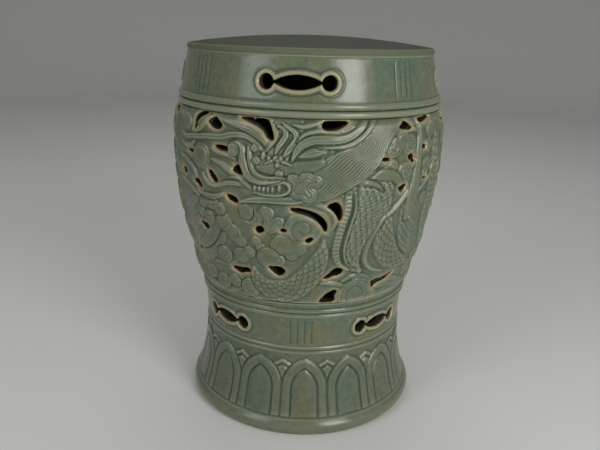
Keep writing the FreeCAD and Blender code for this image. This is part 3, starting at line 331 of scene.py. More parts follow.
class Ring:
    """One ring's outer face, with the height of its carving, its holes and who owns each spot.

    clear is how far each spot lies outside every form, and solid how far outside every hole, in mm."""

    def __init__(self, radius, low, high, rows, columns, start=0.0, sweep=360.0):
        self.sweep = sweep
        self.angle = start + sweep * np.arange(columns + 1) / columns
        self.level = low + (high - low) * np.arange(rows + 1) / rows
        self.turn, self.z = np.meshgrid(self.angle, self.level)
        self.base = radius(self.z)
        self.round = radius(self.level)
        self.height = np.zeros_like(self.z)
        self.owner = np.zeros(self.z.shape, int)
        self.clear = np.full(self.z.shape, FAR)
        self.solid = np.full(self.z.shape, FAR)
        self.groups = ["ground"]
        self.outlined = False

    def window(self, middle, reach, low, high):
        """Rows and columns near a spot, and where their points lie from it in mm."""
        off = (self.angle - middle + self.sweep / 2) % self.sweep - self.sweep / 2
        columns = np.nonzero(np.abs(np.radians(off)) * self.round.max() <= reach)[0]
        rows = np.nonzero((self.level >= low) & (self.level <= high))[0]
        x = np.radians(off[columns])[None, :] * self.round[rows][:, None]
        y = np.repeat(self.level[rows][:, None], len(columns), axis=1)
        return rows, columns, x, y

    def group(self, name):
        if name not in self.groups:
            self.groups.append(name)
        return self.groups.index(name)

    def lay(self, name, rows, columns, height, inside):
        """Clay of one group wherever inside is above 0, with a groove round it if the ring is outlined."""
        spot = np.ix_(rows, columns)
        self.clear[spot] = np.minimum(self.clear[spot], -inside)
        under = self.height[spot]
        if self.outlined:
            groove = outline_groove(inside)
            under = under - np.where(inside > -OUTLINE_REACH, groove, 0)
            height = height - groove
        self.height[spot] = np.where(inside > 0, height, under)
        self.owner[spot] = np.where(inside > 0, self.group(name), self.owner[spot])

    def pierce(self, rows, columns, distance):
        spot = np.ix_(rows, columns)
        self.solid[spot] = np.minimum(self.solid[spot], distance)

    def settle(self, edge, soften=0.45):
        """Rounds the holes' edges, moves grid points onto them and works out the normals."""
        self.height = blurred(self.height, soften)
        if self.outlined:
            border = np.zeros(self.owner.shape)
            for axis in (0, 1):
                border += self.owner != np.roll(self.owner, 1, axis=axis)
            ease = np.clip(MEETING_GAIN * blurred(border, MEETING_BLUR), 0, 1)
            self.height += ease * (blurred(self.height, MEETING_EASE) - self.height)
        drop = np.clip(edge - self.solid, 0, edge)
        self.pool = sum(strength * (blurred(self.height, blur) - self.height)
                        for strength, blur in (POOL_NEAR, POOL_WIDE))
        self.height = self.height - (edge - np.sqrt(np.maximum(edge ** 2 - drop ** 2, 0)))
        across = np.radians(self.sweep / (len(self.angle) - 1)) * self.base
        up = self.level[1] - self.level[0]
        flat = np.clip(self.solid, -FIELD, FIELD)
        slope_z, slope_x = np.gradient(flat)
        slope_z = slope_z / up
        slope_x = slope_x / across
        steep = slope_x ** 2 + slope_z ** 2
        near = (np.abs(self.solid) < SNAP * max(up, across.max())) & (steep > LEAST_SLOPE)
        near[0] = near[-1] = False
        if self.sweep < 360:
            near[:, 0] = near[:, -1] = False
        shift = np.where(near, -self.solid / np.maximum(steep, LEAST_SLOPE), 0)
        self.turn = self.turn + np.degrees(shift * slope_x / self.base)
        self.z = self.z + shift * slope_z
        self.solid = np.where(near, 0, self.solid)
        self.radius = self.base + self.height + waver(self.turn, self.z)
        wide = [np.concatenate([part[:, -2:-1] - wrap, part, part[:, 1:2] + wrap], axis=1)
                for part, wrap in ((self.radius, 0), (self.turn, self.sweep), (self.z, 0))]
        along = [part[:, 2:] - part[:, :-2] for part in wide]
        rise = [np.gradient(part, axis=0) for part in (self.radius, self.turn, self.z)]
        a = np.stack([along[0], self.radius * np.radians(along[1]), along[2]], axis=-1)
        b = np.stack([rise[0], self.radius * np.radians(rise[1]), rise[2]], axis=-1)
        local = np.cross(a, b)
        local /= np.linalg.norm(local, axis=-1)[..., None]
        turn = np.radians(self.turn)
        out = np.stack([np.sin(turn), -np.cos(turn), 0 * turn], axis=-1)
        side = np.stack([np.cos(turn), np.sin(turn), 0 * turn], axis=-1)
        self.normal = out * local[..., :1] + side * local[..., 1:2]
        self.normal[..., 2] += local[..., 2]
        self.out = out
        whole = self.solid >= 0
        corners = [whole[:-1, :-1], whole[:-1, 1:], whole[1:, 1:], whole[1:, :-1]]
        self.corners = sum(corner.astype(int) for corner in corners)
        self.missing = np.argmin(np.stack(corners), axis=0)
        self.cell_owner = self.owner[:-1, :-1]

    def faces(self, cells, grid, blocks, size):
        """Quads, corner triangles and one face for each whole block of cells."""
        merged = np.zeros_like(cells)
        inner = np.kron(blocks, np.ones((size, size), bool))
        merged[:inner.shape[0], :inner.shape[1]] = inner
        ring = [grid[:-1, :-1], grid[:-1, 1:], grid[1:, 1:], grid[1:, :-1]]
        full = cells & (self.corners == 4) & ~merged
        faces = [np.stack([corner[full] for corner in ring], axis=-1)]
        for gone in range(4):
            some = cells & (self.corners == 3) & (self.missing == gone)
            keep = [corner for corner in range(4) if corner != gone]
            faces.append(np.stack([ring[corner][some] for corner in keep], axis=-1))
        for row, column in np.argwhere(blocks):
            r0, c0 = row * size, column * size
            r1, c1 = r0 + size, c0 + size
            beside = [row > 0 and blocks[row - 1, column],
                      column + 1 < blocks.shape[1] and blocks[row, column + 1],
                      row + 1 < blocks.shape[0] and blocks[row + 1, column],
                      column > 0 and blocks[row, column - 1]]
            sides = [grid[r0, c0:c1], grid[r0:r1, c1], grid[r1, c1:c0:-1], grid[r1:r0:-1, c0]]
            faces.append(np.concatenate([side[:1] if joined else side
                                         for side, joined in zip(sides, beside)]).tolist())
        return faces

    def block_mask(self, cells, size):
        rows, columns = cells.shape[0] // size, cells.shape[1] // size
        whole = cells & (self.corners == 4)
        part = whole[:rows * size, :columns * size].reshape(rows, size, columns, size)
        return part.all(axis=(1, 3))

    def shell(self, name, group, material, depth=SINK):
        """Closed piece of one group: its carved face, its back and the walls between.

        The ground is the whole wall, sunk where relief covers it, and goes back by depth."""
        clay = self.corners >= 3
        wall = group == "ground"
        own = clay & (self.cell_owner == self.groups.index(group))
        cells = clay if wall else own
        if not cells.any():
            raise RuntimeError("no clay for " + name)
        seen = np.zeros(self.z.shape, bool)
        for down in (0, 1):
            for across in (0, 1):
                seen[down:self.z.shape[0] - 1 + down, across:self.z.shape[1] - 1 + across] |= own
        front = np.where(seen, self.radius, self.base - SINK)
        back = self.base - depth
        columns = self.z.shape[1]
        grid = np.arange(self.z.size).reshape(self.z.shape)
        if self.sweep == 360:
            grid[:, -1] = grid[:, 0]
        covered = ~seen
        inside = covered[:-1, :-1] & covered[:-1, 1:] & covered[1:, 1:] & covered[1:, :-1]
        hidden = self.block_mask(cells & inside & wall, WALL_BLOCK)
        back_block = WALL_BLOCK if wall else RELIEF_BLOCK
        outer = self.faces(cells, grid, hidden, WALL_BLOCK)
        inner = self.faces(cells, grid, self.block_mask(cells, back_block), back_block)
        count = self.z.size
        inner = [face[:, ::-1] + count if isinstance(face, np.ndarray) else [i + count for i in face[::-1]]
                 for face in inner]
        pairs = []
        for face in outer:
            if isinstance(face, np.ndarray):
                pairs.append(np.stack([face, np.roll(face, -1, axis=1)], axis=-1).reshape(-1, 2))
            else:
                pairs.append(np.stack([face, face[1:] + face[:1]], axis=-1))
        pairs = np.concatenate(pairs)
        lone = ~np.isin(pairs[:, 0] * count + pairs[:, 1], pairs[:, 1] * count + pairs[:, 0])
        edges = pairs[lone]
        sides = np.stack([edges[:, 1], edges[:, 0], edges[:, 0] + count, edges[:, 1] + count], axis=-1)
        points = np.concatenate([place(self.turn, front, self.z).reshape(-1, 3),
                                 place(self.turn, back, self.z).reshape(-1, 3)])
        normal = np.concatenate([self.normal.reshape(-1, 3), -self.out.reshape(-1, 3)])
        flat = np.cross(points[sides[:, 1]] - points[sides[:, 0]], points[sides[:, 3]] - points[sides[:, 0]])
        flat /= np.linalg.norm(flat, axis=1)[:, None] + 1e-12
        turned_out = np.zeros_like(normal)
        for corner in range(4):
            np.add.at(turned_out, sides[:, corner], flat)
        turned_out /= np.linalg.norm(turned_out, axis=1)[:, None] + 1e-12
        faces = [face for face in outer + inner if len(face)]
        loops = np.concatenate([np.asarray(face, np.int64).ravel() for face in faces])
        normals = np.concatenate([normal[loops], turned_out[sides.ravel()]])
        near_hole = np.exp(-np.maximum(self.solid, 0) / EDGE_FADE).ravel()
        # Points at the back are bare clay, which the glaze paints dark as shade
        values = {
            "pool": np.concatenate([self.pool.ravel(), 0 * near_hole]),
            "rim": np.concatenate([near_hole, 0 * near_hole]),
            "raw": np.concatenate([0 * near_hole, 0 * near_hole + 1]),
        }
        return mesh_object(name, points, faces + [sides], values, material, normals)


# Strokes: smooth lines of (angle, height, half width) that clay is laid along
def smooth_line(points, step=0.8):
    """Points along a smooth line, with the way gone so far."""
    line = []
    for knot in range(len(points) - 1):
        a, b = points[max(knot - 1, 0)], points[knot]
        c, d = points[knot + 1], points[min(knot + 2, len(points) - 1)]
        count = max(2, round(math.hypot(c[0] - b[0], c[1] - b[1]) / step))
        t = (np.arange(count) / count)[:, None]
        line.append(0.5 * (2 * b + (c - a) * t + (2 * a - 5 * b + 4 * c - d) * t ** 2
                           + (3 * b - a - 3 * c + d) * t ** 3))
    line.append(points[-1:])
    line = np.concatenate(line)
    gone = np.concatenate([[0], np.cumsum(np.hypot(*np.diff(line[:, :2], axis=0).T))])
    return line, gone


def follow(line, gone, x, y):
    """For each point: way along the line, distance across it, half width there and depth inside."""
    spots = np.stack([x.ravel(), y.ravel()], axis=-1)
    nearest = np.empty(len(spots), int)
    for start in range(0, len(spots), 4096):
        part = spots[start:start + 4096]
        gap = (part[:, None, 0] - line[None, :, 0]) ** 2 + (part[:, None, 1] - line[None, :, 1]) ** 2
        nearest[start:start + 4096] = gap.argmin(axis=1)
    tangent = np.gradient(line[:, :2], axis=0)
    tangent /= np.linalg.norm(tangent, axis=1)[:, None] + 1e-9
    off = spots - line[nearest, :2]
    along = gone[nearest] + (off * tangent[nearest]).sum(axis=1)
    across = tangent[nearest, 0] * off[:, 1] - tangent[nearest, 1] * off[:, 0]
    past = np.maximum(np.maximum(-along, along - gone[-1]), 0)
    half = np.interp(along, gone, line[:, 2])
    inside = half - np.hypot(across, past)
    shape = x.shape
    return along.reshape(shape), across.reshape(shape), half.reshape(shape), inside.reshape(shape)


def quarter(inside, width):
    """0 at an edge, rising round to 1 at width from it."""
    t = np.clip(inside / width, 0, 1)
    return np.sqrt(1 - (1 - t) ** 2)


# A low form's border stands at this share of its height
LEAST_RISE = 0.85


def raised(inside, share, shoulder):
    """Form that swells from the ground to share of the relief's height."""
    relief = mm(sizes().relief)
    floor = min(GROUND_SHARE, LEAST_RISE * share) * relief
    return floor + (share * relief - floor) * quarter(inside, shoulder)


def incised(away, width):
    """Section of a cut line, 1 deep in its middle."""
    return np.exp(-(away / width) ** 2)


# A profile gives the height at s along and u across a stroke of half width w, this far inside its border
def plain(share=1.0, shoulder=3.0):
    """Ribbon with one round swell."""
    def profile(s, u, w, inside):
        return raised(inside, share, shoulder)
    return profile


HEM_SHOULDER = 2.4
HEM_DEPTH = 0.7
HEM_WIDTH = 0.7


def hemmed(share=1.0, hem=2.2):
    """Ribbon with a line cut inside each edge."""
    def profile(s, u, w, inside):
        return raised(inside, share, HEM_SHOULDER) - HEM_DEPTH * incised(inside - hem, HEM_WIDTH)
    return profile


# Waves of combed hair: their length in mm, and how much the strands across a lock lag
WAVE_LENGTH = 34
WAVE_LAG = 9
# Grooves narrower than this fade out
FINEST_STRAND = 1.8


def combed(share=1.0, depth=0.9, pitch=None, strands=None, shoulder=3.0, wave=0.0):
    """Hair: grooves run along the stroke, swing by wave and close up where it narrows."""
    def profile(s, u, w, inside):
        spacing = mm(sizes().strand) if pitch is None else pitch
        count = strands or max(2, round(2 * float(w.max()) / spacing))
        across = u + wave * np.sin(2 * np.pi * s / WAVE_LENGTH + u / WAVE_LAG)
        phase = (across / np.maximum(w, 0.3) + 1) * count / 2
        groove = 0.5 + 0.5 * np.cos(2 * np.pi * phase)
        fine = np.clip(2 * w / count / FINEST_STRAND, 0, 1)
        return raised(inside, share, shoulder) - depth * groove * fine
    return profile


# A scale's width, half width and length in rows, how square its tip is, its tilt, and the cut round its edge
SCALE_WIDE = 1.1
SCALE_HALF = 0.54
SCALE_LONG = 1.4
SCALE_SQUARE = 2.6
SCALE_ROOT = 0.2
SCALE_TILT = 0.8
SCALE_CUT = 1.5
SCALE_CUT_WIDTH = 0.85
SCALE_FLOOR = 0.9
# The skin under the scales is sunk, and plain up to this far from its border
SKIN_SINK = 0.3
SKIN_HEM = 0.8
SKIN_FADE = 1.5


def scaled(share=1.0, shoulder=5.0, size=1.0):
    """Skin: rows of staggered round scales; each lies over the root of the next."""
    def profile(s, u, w, inside):
        pitch = mm(sizes().scale) * size
        wide = SCALE_WIDE * pitch
        row = np.floor(s / pitch)
        height = np.full_like(s, -SCALE_FLOOR)
        for back in (0, 1):
            this = row - back
            odd = 0.5 * (np.abs(this) % 2)
            middle = (np.round(u / wide - odd) + odd) * wide
            ahead = (s - this * pitch) / pitch
            reach = (np.abs((u - middle) / (SCALE_HALF * wide)) ** SCALE_SQUARE
                     + np.abs(ahead / SCALE_LONG) ** SCALE_SQUARE) ** (1 / SCALE_SQUARE)
            lift = (-SCALE_ROOT + SCALE_TILT * ahead / SCALE_LONG
                    - SCALE_CUT * incised((1 - reach) * pitch, SCALE_CUT_WIDTH))
            height = np.where(reach < 1, lift, height)
        shown = np.clip((inside - SKIN_HEM) / SKIN_FADE, 0, 1)
        return raised(inside, share, shoulder) - SKIN_SINK + height * shown
    return profile


RIB_PITCH = 4.6
RIB_DEPTH = 1.0
RIB_SHOULDER = 1.8
RIB_FULLNESS = 0.6


def ribbed(share=1.0):
    """Belly plates: round ribs across the stroke."""
    def profile(s, u, w, inside):
        rib = np.abs(np.sin(np.pi * s / RIB_PITCH)) ** RIB_FULLNESS
        return raised(inside, share, RIB_SHOULDER) - RIB_DEPTH * (1 - rib)
    return profile


def stroke(ring, name, profile, points):
    """Lays one stroke of clay. Points are (angle, height above the belly's foot, half width)."""
    line = np.array(points, float)
    middle = line[:, 0].mean()
    z = BELLY_LOW + line[:, 1]
    local = np.stack([np.radians(line[:, 0] - middle) * drum_radius(z), z, line[:, 2]], axis=-1)
    widest = line[:, 2].max() + MARGIN
    reach = np.abs(local[:, 0]).max() + widest
    rows, columns, x, y = ring.window(middle, reach, z.min() - widest, z.max() + widest)
    path, gone = smooth_line(local)
    along = follow(path, gone, x, y)
    ring.lay(name, rows, columns, profile(*along), along[-1])


# Clouds: a line is cut this far inside the border, and a second one where no lobe curls
CLOUD_LINE = 3.0
CLOUD_INNER_LINE = 6.2
CLOUD_LINE_WIDTH = 0.8
CLOUD_CUT = 0.95
CURL_WIDTH = 0.85
LEAST_CURL = 3.2
CURL_TURNS = 2.1
CURL_EYE = 0.55
CLOUD_SHOULDER = 2.6
CLOUD_CORNERS = 64
# Bosses: how much of the radius swells, and the groove in them
BOSS_SWELL = 0.7
BOSS_CUT = 0.9
BOSS_CUT_WIDTH = 0.8


def cloud(ring, name, lobes, share=0.95):
    """Lobes (angle, height, radius, where the curl starts, way round) run into one pad with a border line."""
    middle = sum(lobe[0] for lobe in lobes) / len(lobes)
    wide = max(math.radians(abs(lobe[0] - middle)) * BELLY_RADIUS + lobe[2] for lobe in lobes) + MARGIN
    low = min(lobe[1] - lobe[2] for lobe in lobes) - MARGIN
    high = max(lobe[1] + lobe[2] for lobe in lobes) + MARGIN
    rows, columns, x, y = ring.window(middle, wide, BELLY_LOW + low, BELLY_LOW + high)
    within = np.zeros(x.shape, bool)
    curls = np.zeros_like(x)
    rounds = np.array([(math.radians(lobe[0] - middle) * float(drum_radius(np.array(BELLY_LOW + lobe[1]))),
                        BELLY_LOW + lobe[1], lobe[2]) for lobe in lobes])
    for (middle_x, z, radius), (*_, start, way) in zip(rounds, lobes):
        dx, dy = x - middle_x, y - z
        far = np.hypot(dx, dy)
        within |= far < radius
        if way:
            core = radius - CLOUD_LINE
            pitch = max(LEAST_CURL, core / CURL_TURNS)
            turns = (way * np.arctan2(dy, dx) - way * math.radians(start)) / (2 * np.pi)
            spiral = (core - far) / pitch + turns
            off = np.abs(spiral - np.round(spiral)) * pitch
            curl = incised(off, CURL_WIDTH) * np.clip(far / (CURL_EYE * pitch), 0, 1) ** 2
            curls = np.where(far < core, np.maximum(curls, curl), curls)

    # The pad's border is what no lobe covers of the lobes' circles
    turn = 2 * np.pi * np.arange(CLOUD_CORNERS)[:, None] / CLOUD_CORNERS
    edge = np.stack([rounds[:, 0] + rounds[:, 2] * np.cos(turn),
                     rounds[:, 1] + rounds[:, 2] * np.sin(turn)], axis=-1).reshape(-1, 2)
    apart = np.hypot(edge[:, None, 0] - rounds[:, 0], edge[:, None, 1] - rounds[:, 1])
    edge = edge[(apart > rounds[:, 2] - 0.01).all(axis=1)]
    gap = np.hypot(x[..., None] - edge[:, 0], y[..., None] - edge[:, 1]).min(axis=-1)
    inside = np.where(within, gap, -gap)
    border = incised(inside - CLOUD_LINE, CLOUD_LINE_WIDTH)
    if not any(lobe[4] for lobe in lobes):
        border = np.maximum(border, incised(inside - CLOUD_INNER_LINE, CLOUD_LINE_WIDTH))
    height = raised(inside, share, CLOUD_SHOULDER) - CLOUD_CUT * np.maximum(border, curls)
    ring.lay(name, rows, columns, height, inside)


def disc(ring, name, angle, rise, radius, share, groove):
    """Round boss with a ring groove this far from its middle."""
    reach = radius + MARGIN
    rows, columns, x, y = ring.window(angle, reach, BELLY_LOW + rise - reach, BELLY_LOW + rise + reach)
    far = np.hypot(x, y - BELLY_LOW - rise)
    height = raised(radius - far, share, BOSS_SWELL * radius) - BOSS_CUT * incised(far - groove, BOSS_CUT_WIDTH)
    ring.lay(name, rows, columns, height, radius - far)


# The knife goes this far beyond the drawn outline
HOLE_WEAR = 0.6
HOLE_MARGIN = 8.0
HOLE_STEPS = 5


def hole(ring, outline):
    """Pierces the wall along a rounded outline of (angle, height above the belly's foot)."""
    line = np.array(outline, float)
    middle = line[:, 0].mean()
    z = BELLY_LOW + line[:, 1]
    poles = np.stack([np.radians(line[:, 0] - middle) * drum_radius(z), z], axis=-1)
    t = (np.arange(HOLE_STEPS) / HOLE_STEPS)[:, None]
    edge = np.concatenate([
        0.5 * ((1 - t) ** 2 * a + (1 + 2 * t - 2 * t ** 2) * b + t ** 2 * c)
        for a, b, c in zip(poles, np.roll(poles, -1, axis=0), np.roll(poles, -2, axis=0))])
    after = np.roll(edge, -1, axis=0)
    reach = np.abs(edge[:, 0]).max() + HOLE_MARGIN
    low, high = edge[:, 1].min() - HOLE_MARGIN, edge[:, 1].max() + HOLE_MARGIN
    rows, columns, x, y = ring.window(middle, reach, low, high)
    px, py = x[..., None], y[..., None]
    dx, dy = (after - edge).T
    part = np.clip(((px - edge[:, 0]) * dx + (py - edge[:, 1]) * dy) / (dx ** 2 + dy ** 2 + 1e-9), 0, 1)
    gap = np.hypot(px - edge[:, 0] - part * dx, py - edge[:, 1] - part * dy).min(axis=-1)
    crosses = (edge[:, 1] > py) != (after[:, 1] > py)
    meets = edge[:, 0] + (py - edge[:, 1]) * dx / np.where(dy == 0, 1e-9, dy)
    within = (crosses & (px < meets)).sum(axis=-1) % 2 == 1
    ring.pierce(rows, columns, np.where(within, -gap, gap) - HOLE_WEAR)


HOLES = [
    [(-46, 212), (-41.5, 212), (-43, 210), (-46, 206), (-48, 201), (-48.3, 193), (-49.5, 191), (-50, 201),
     (-48.6, 208)],
    [(-41.5, 202), (-39, 207), (-37, 209), (-35, 204.5), (-33.6, 200.5), (-35, 197), (-38, 196.5)],
    [(-27, 211.5), (-20, 211.5), (-14, 211.5), (-12.6, 199), (-12, 191), (-14.4, 192), (-16, 200),
     (-19, 205), (-23, 209)],
    [(-37.3, 180), (-30.3, 180), (-30.3, 175.5), (-34, 175), (-37, 177.5)],
    [(-55, 168.5), (-49.8, 169), (-49.6, 166), (-53, 165.3)],
    [(-29, 157), (-25.7, 164), (-24.5, 158), (-23.7, 152.7), (-26, 152.7)],
    [(-41.5, 151.5), (-39, 151), (-37, 146), (-35.6, 141), (-37.5, 138.5), (-39.5, 142)],
    [(-62, 143), (-57, 146), (-56.5, 140), (-60, 137)],
    [(-51.5, 135), (-48, 138), (-46, 134), (-45, 129), (-47, 128), (-49, 132)],
    [(-32, 129), (-28, 127), (-26.6, 124), (-27, 120), (-30, 121.5), (-31.5, 124)],
    [(-6, 121), (-3, 121.5), (1, 119), (4.8, 115), (7.4, 108.5), (8.7, 100), (7.8, 94), (6.6, 101),
     (4.6, 107.5), (2, 112.5), (-1.5, 116), (-5, 117.5)],
    [(7.5, 124), (11, 129), (13, 125), (14, 116), (13, 106), (11.8, 114), (9.7, 121)],
    [(-20, 93), (-18.5, 98), (-16.5, 96.5), (-16, 93), (-18, 89), (-19.5, 90)],
    [(-10, 95), (-8, 98), (-6.9, 95.3), (-8.5, 93)],
    [(-0.2, 85), (2, 89), (3.3, 88), (2.5, 84), (1, 82)],
    [(-50, 87), (-45, 86), (-44, 83), (-46, 78), (-48, 80)],
    [(-58.5, 46), (-55, 53), (-54.5, 50), (-57, 44), (-60, 43)],
    [(-34.5, 37), (-32, 41), (-29, 40), (-25, 42.5), (-24, 37), (-27, 36), (-30, 32.5), (-32, 35)],
    [(-16, 49), (-11, 50.5), (-8.5, 47), (-8, 43), (-10, 38), (-12, 38.5), (-14, 43)],
    [(8.5, 36), (11, 43), (14, 50.5), (17.5, 46.5), (16, 40), (13, 39.5), (10, 35.5)],
    [(6.8, 4), (10, 14), (13.5, 20), (16, 19), (14.6, 12), (15.4, 4.5), (11, 3.6)],
    [(33, 26), (40, 26.5), (47, 31), (46, 27.5), (40, 23), (36, 21.5), (34, 15.5), (33, 19)],
    [(5, 211.5), (10, 211.5), (15.4, 211.5), (12.6, 206), (10, 203), (5, 203)],
    [(36, 203), (38.5, 210), (40, 208.5), (43, 203), (41, 200.5), (38, 202)],
    [(45.5, 210), (51.5, 211.5), (57.5, 212), (52, 207.5), (48, 206)],
    [(28.4, 173), (32.5, 172.3), (31, 169.5), (28.8, 170.3)],
    [(41, 174.5), (44, 174.5), (45, 169), (44, 164), (42, 169)],
    [(37, 141), (42, 142), (40.8, 137), (39, 132), (38, 136)],
    [(49.6, 182), (52.2, 182), (52, 176.5), (50, 177.5)],
    [(52.3, 145.5), (55, 147), (55.2, 143.5), (53, 142.5)],
    [(68, 208), (76, 211), (83, 209), (80, 203), (73, 201)],
    [(67.5, 150), (71, 155), (73, 149), (70.5, 143)],
    [(81.6, 168), (86.5, 173), (89.5, 166), (85, 160.5)],
    [(101, 207), (108, 211), (113, 208.5), (110, 203), (104, 202)],
    [(93.5, 128), (99, 131), (98, 124), (95, 122)],
    [(70.5, 96), (73.5, 102), (76, 96), (73, 90)],
    [(107, 107), (111, 111), (113, 105), (109, 101)],
    [(71, 20), (78, 24), (86, 21), (84, 15), (76, 14)],
    [(99, 42), (105, 48), (110, 44), (108, 37), (102, 36)],
    [(93, 76), (97, 80), (98.5, 75), (95.5, 71)],
]

# Ribbons of flame: (angle, height above the belly's foot, half width)
FLAMES = [
    [(-60, 176, 2), (-56, 173, 3), (-51, 175, 3), (-48.5, 182, 2)],
    [(-62, 160, 2), (-56, 158, 3.6), (-51.5, 152, 3.8), (-48.5, 145, 3.4), (-47.2, 139, 1.6)],
    [(-60, 187, 2), (-55, 183, 3.4), (-49, 185, 3.6), (-41, 188, 4), (-34, 189.5, 4), (-28.5, 193.5, 4.2),
     (-23, 193.5, 4), (-19, 188, 3.4), (-17, 181, 2.2)],
    [(-51, 192, 2), (-46.5, 193, 3.4), (-44, 198, 3.6), (-41.5, 205, 3.4), (-38, 211, 2.4)],
    [(-41, 216, 3), (-34, 210.5, 4.4), (-28, 206, 5.4), (-22, 202.5, 6.2), (-17.4, 195.5, 5.8),
     (-15, 187.5, 4), (-14.8, 181, 1.8)],
    [(-39.4, 176, 1.8), (-35, 173, 3), (-30.5, 171.5, 3), (-27, 168, 2)],
    [(-39.6, 165, 2), (-35, 162.5, 3.8), (-31, 157, 4.4), (-27, 151, 4.6), (-23, 147.5, 3.2),
     (-20.5, 148, 1.6)],
    [(-44, 148.5, 1.8), (-42.5, 140, 3), (-39.5, 135.5, 3.2), (-35.5, 136.5, 3), (-31.5, 141, 3.4),
     (-27, 142.5, 3.4), (-23, 141, 2)],
    [(-50, 126, 2), (-44, 122.5, 3.6), (-38.5, 122.5, 4), (-33.5, 127.5, 3)],
    [(-62, 133, 2), (-56, 130, 3.6), (-51, 124, 3.8), (-47, 118, 2)],
]

# Combed cloud tails and hair that sweep down to the left, and waves at the foot
SWEEPS = [
    [(-45, 124, 2), (-50, 114, 5.5), (-55, 106, 6.5), (-61, 98, 4)],
    [(-46.5, 98, 3), (-50.5, 88, 6.5), (-55, 79, 8), (-61, 71, 5)],
    [(-33, 84, 3), (-36.6, 74, 6.5), (-40, 64, 8), (-44, 54, 8.5), (-50, 44, 8), (-58, 34, 4)],
    [(-37.6, 97, 4), (-39.6, 84, 7.5), (-42.6, 74, 8.5), (-46.4, 65, 8), (-50.6, 58, 7), (-56.5, 50, 4)],
    [(-28, 60, 3), (-31.5, 50, 5.5), (-37, 43, 5.5), (-44, 39, 3)],
    [(33, 13, 3), (39, 18, 6), (46, 18, 7), (53, 13, 6.5), (60, 9, 3)],
    [(-58, 20, 3), (-52, 8, 6), (-44, 4, 6), (-36, 7, 5), (-29, 15, 2.4)],
    [(-30, 28, 2), (-26, 20, 5), (-24.5, 9, 6), (-20, 2, 3)],
    [(67, 134, 2), (74, 126, 5.5), (82, 126, 6.5), (90, 119, 5.5), (96, 111, 2)],
    [(93, 152, 2), (97, 140, 6), (104, 118, 7), (109, 96, 7), (112, 76, 3)],
    [(66, 206, 2), (70, 194, 5), (76, 178, 6), (88, 176, 6), (96, 184, 3)],
]

# Curled clouds, each a set of lobes: (angle, height, radius, where the curl starts, way round)
CLOUDS = {
    "upper": [
        [(33.6, 184, 11.5, 200, -1), (41.6, 184.5, 11.5, -20, 1), (37.6, 191.5, 9.5, 90, 0)],
        [(33, 163, 8.5, 160, -1), (40, 155.5, 11.5, 30, 1), (43.5, 164, 6, 0, 0)],
        [(-54.5, 199, 9.5, 20, 1), (-58.5, 207, 7.5, 200, -1)],
        [(55.8, 198, 9.5, 160, -1), (54.5, 181, 8.5, 120, 1)],
        [(54, 160, 9, 60, 1), (53, 150, 6, 0, 0)],
        [(73.5, 185, 11, 200, -1), (81.2, 187, 11.5, -20, 1), (77.2, 195, 9, 90, 0)],
        [(93, 196, 11.5, 200, -1), (100.5, 187, 11.5, -20, 1), (108, 181, 10, 100, -1)],
        [(77, 167, 9.5, 100, 1)],
    ],
    "middle": [
        [(-15, 113, 9, 0, 0), (-10, 105, 6, 90, 1), (-13.2, 99.5, 9, 0, 0)],
        [(-0.8, 97.5, 20, 60, 1)],
        [(-34, 95.5, 11, 90, -1), (-29.6, 84.5, 10, 200, 1), (-27, 76, 8, 0, 0)],
        [(-42.4, 96, 9, 90, 1), (-47, 100, 6.5, 0, 0)],
        [(-40, 116, 10, 0, 0), (-35.5, 110, 8, 0, 0), (-45, 112, 7, 0, 0)],
        [(55, 120, 8, 0, -1)],
        [(79.5, 144, 10.5, 200, -1), (87.5, 145, 10.5, -20, 1), (83.5, 151, 8, 0, 0)],
        [(101, 160, 11, 0, 1), (106.5, 151.5, 9, 0, 0), (112, 153, 9.5, 90, 1)],
        [(104.5, 132, 10.5, 90, -1)], [(101, 109, 9.5, 0, -1), (103, 89, 10, 0, 1), (104.5, 99, 8, 0, 0)],
    ],
    "lower": [
        [(-19.8, 79.5, 6, 0, 0), (-18, 72.5, 6, 0, 0)],
        [(-9, 77.5, 12.5, 0, 0), (-2.6, 75.5, 9.5, 0, 0), (-5.2, 66.5, 7, 0, 1)],
        [(-15, 60.5, 13, 0, 0), (-10.8, 58, 8, 180, 1)],
        [(-36.5, 54, 11, 90, 1), (-27.5, 58, 10, 0, 0), (-23.4, 64, 7.5, 0, 0)],
        [(-41, 16, 10.5, 20, 1), (-33.5, 21, 9, 0, 0), (-49.5, 22, 10, 20, 1)],
        [(-25, 17, 12, 0, 0)],
        [(25, 13, 21, 90, 1), (33.5, 7, 9, 0, 0)],
        [(58, 28, 11, 20, 1), (64.6, 18, 10, 160, -1), (63, 41, 8.5, 90, 1)],
        [(76, 36, 10, 160, -1)], [(91, 30, 12, 20, 1), (99.4, 20, 11, 160, -1), (108, 19, 10.5, 20, 1)],
        [(113.5, 60, 10.5, 90, -1)], [(102, 63, 10, 0, 1)],
    ],
}

# Combed bands that tie the clouds together: (angle, height above the belly's foot, half width)
CLOUD_BANDS = {
    "lower": [
        [(15.5, 26, 2), (19, 34.5, 3.4), (25, 37, 3.6), (30, 31, 3.4), (32.4, 20, 2)],
        [(7, 30, 2), (12, 29.5, 3.4), (17.5, 26, 3.2), (20, 20, 1.8)],
    ],
    "middle": [
        [(9.8, 96, 1.6), (11.2, 104, 3), (11, 113, 3.2), (8.4, 121, 3), (3, 126.5, 3), (-3, 126, 1.8)],
    ],
    "upper": [
        [(29, 193, 1.8), (31.5, 199, 3), (37, 199, 3.2), (43, 201, 3.2), (47.5, 197, 2.6), (49, 188, 1.6)],
    ],
}


def lay_pearls(ring):
    for line in FLAMES:
        stroke(ring, "pearl", combed(0.95, 0.7, 3.4), line)
    disc(ring, "pearl", -44.5, 165, 15.2, 1.05, 12.2)


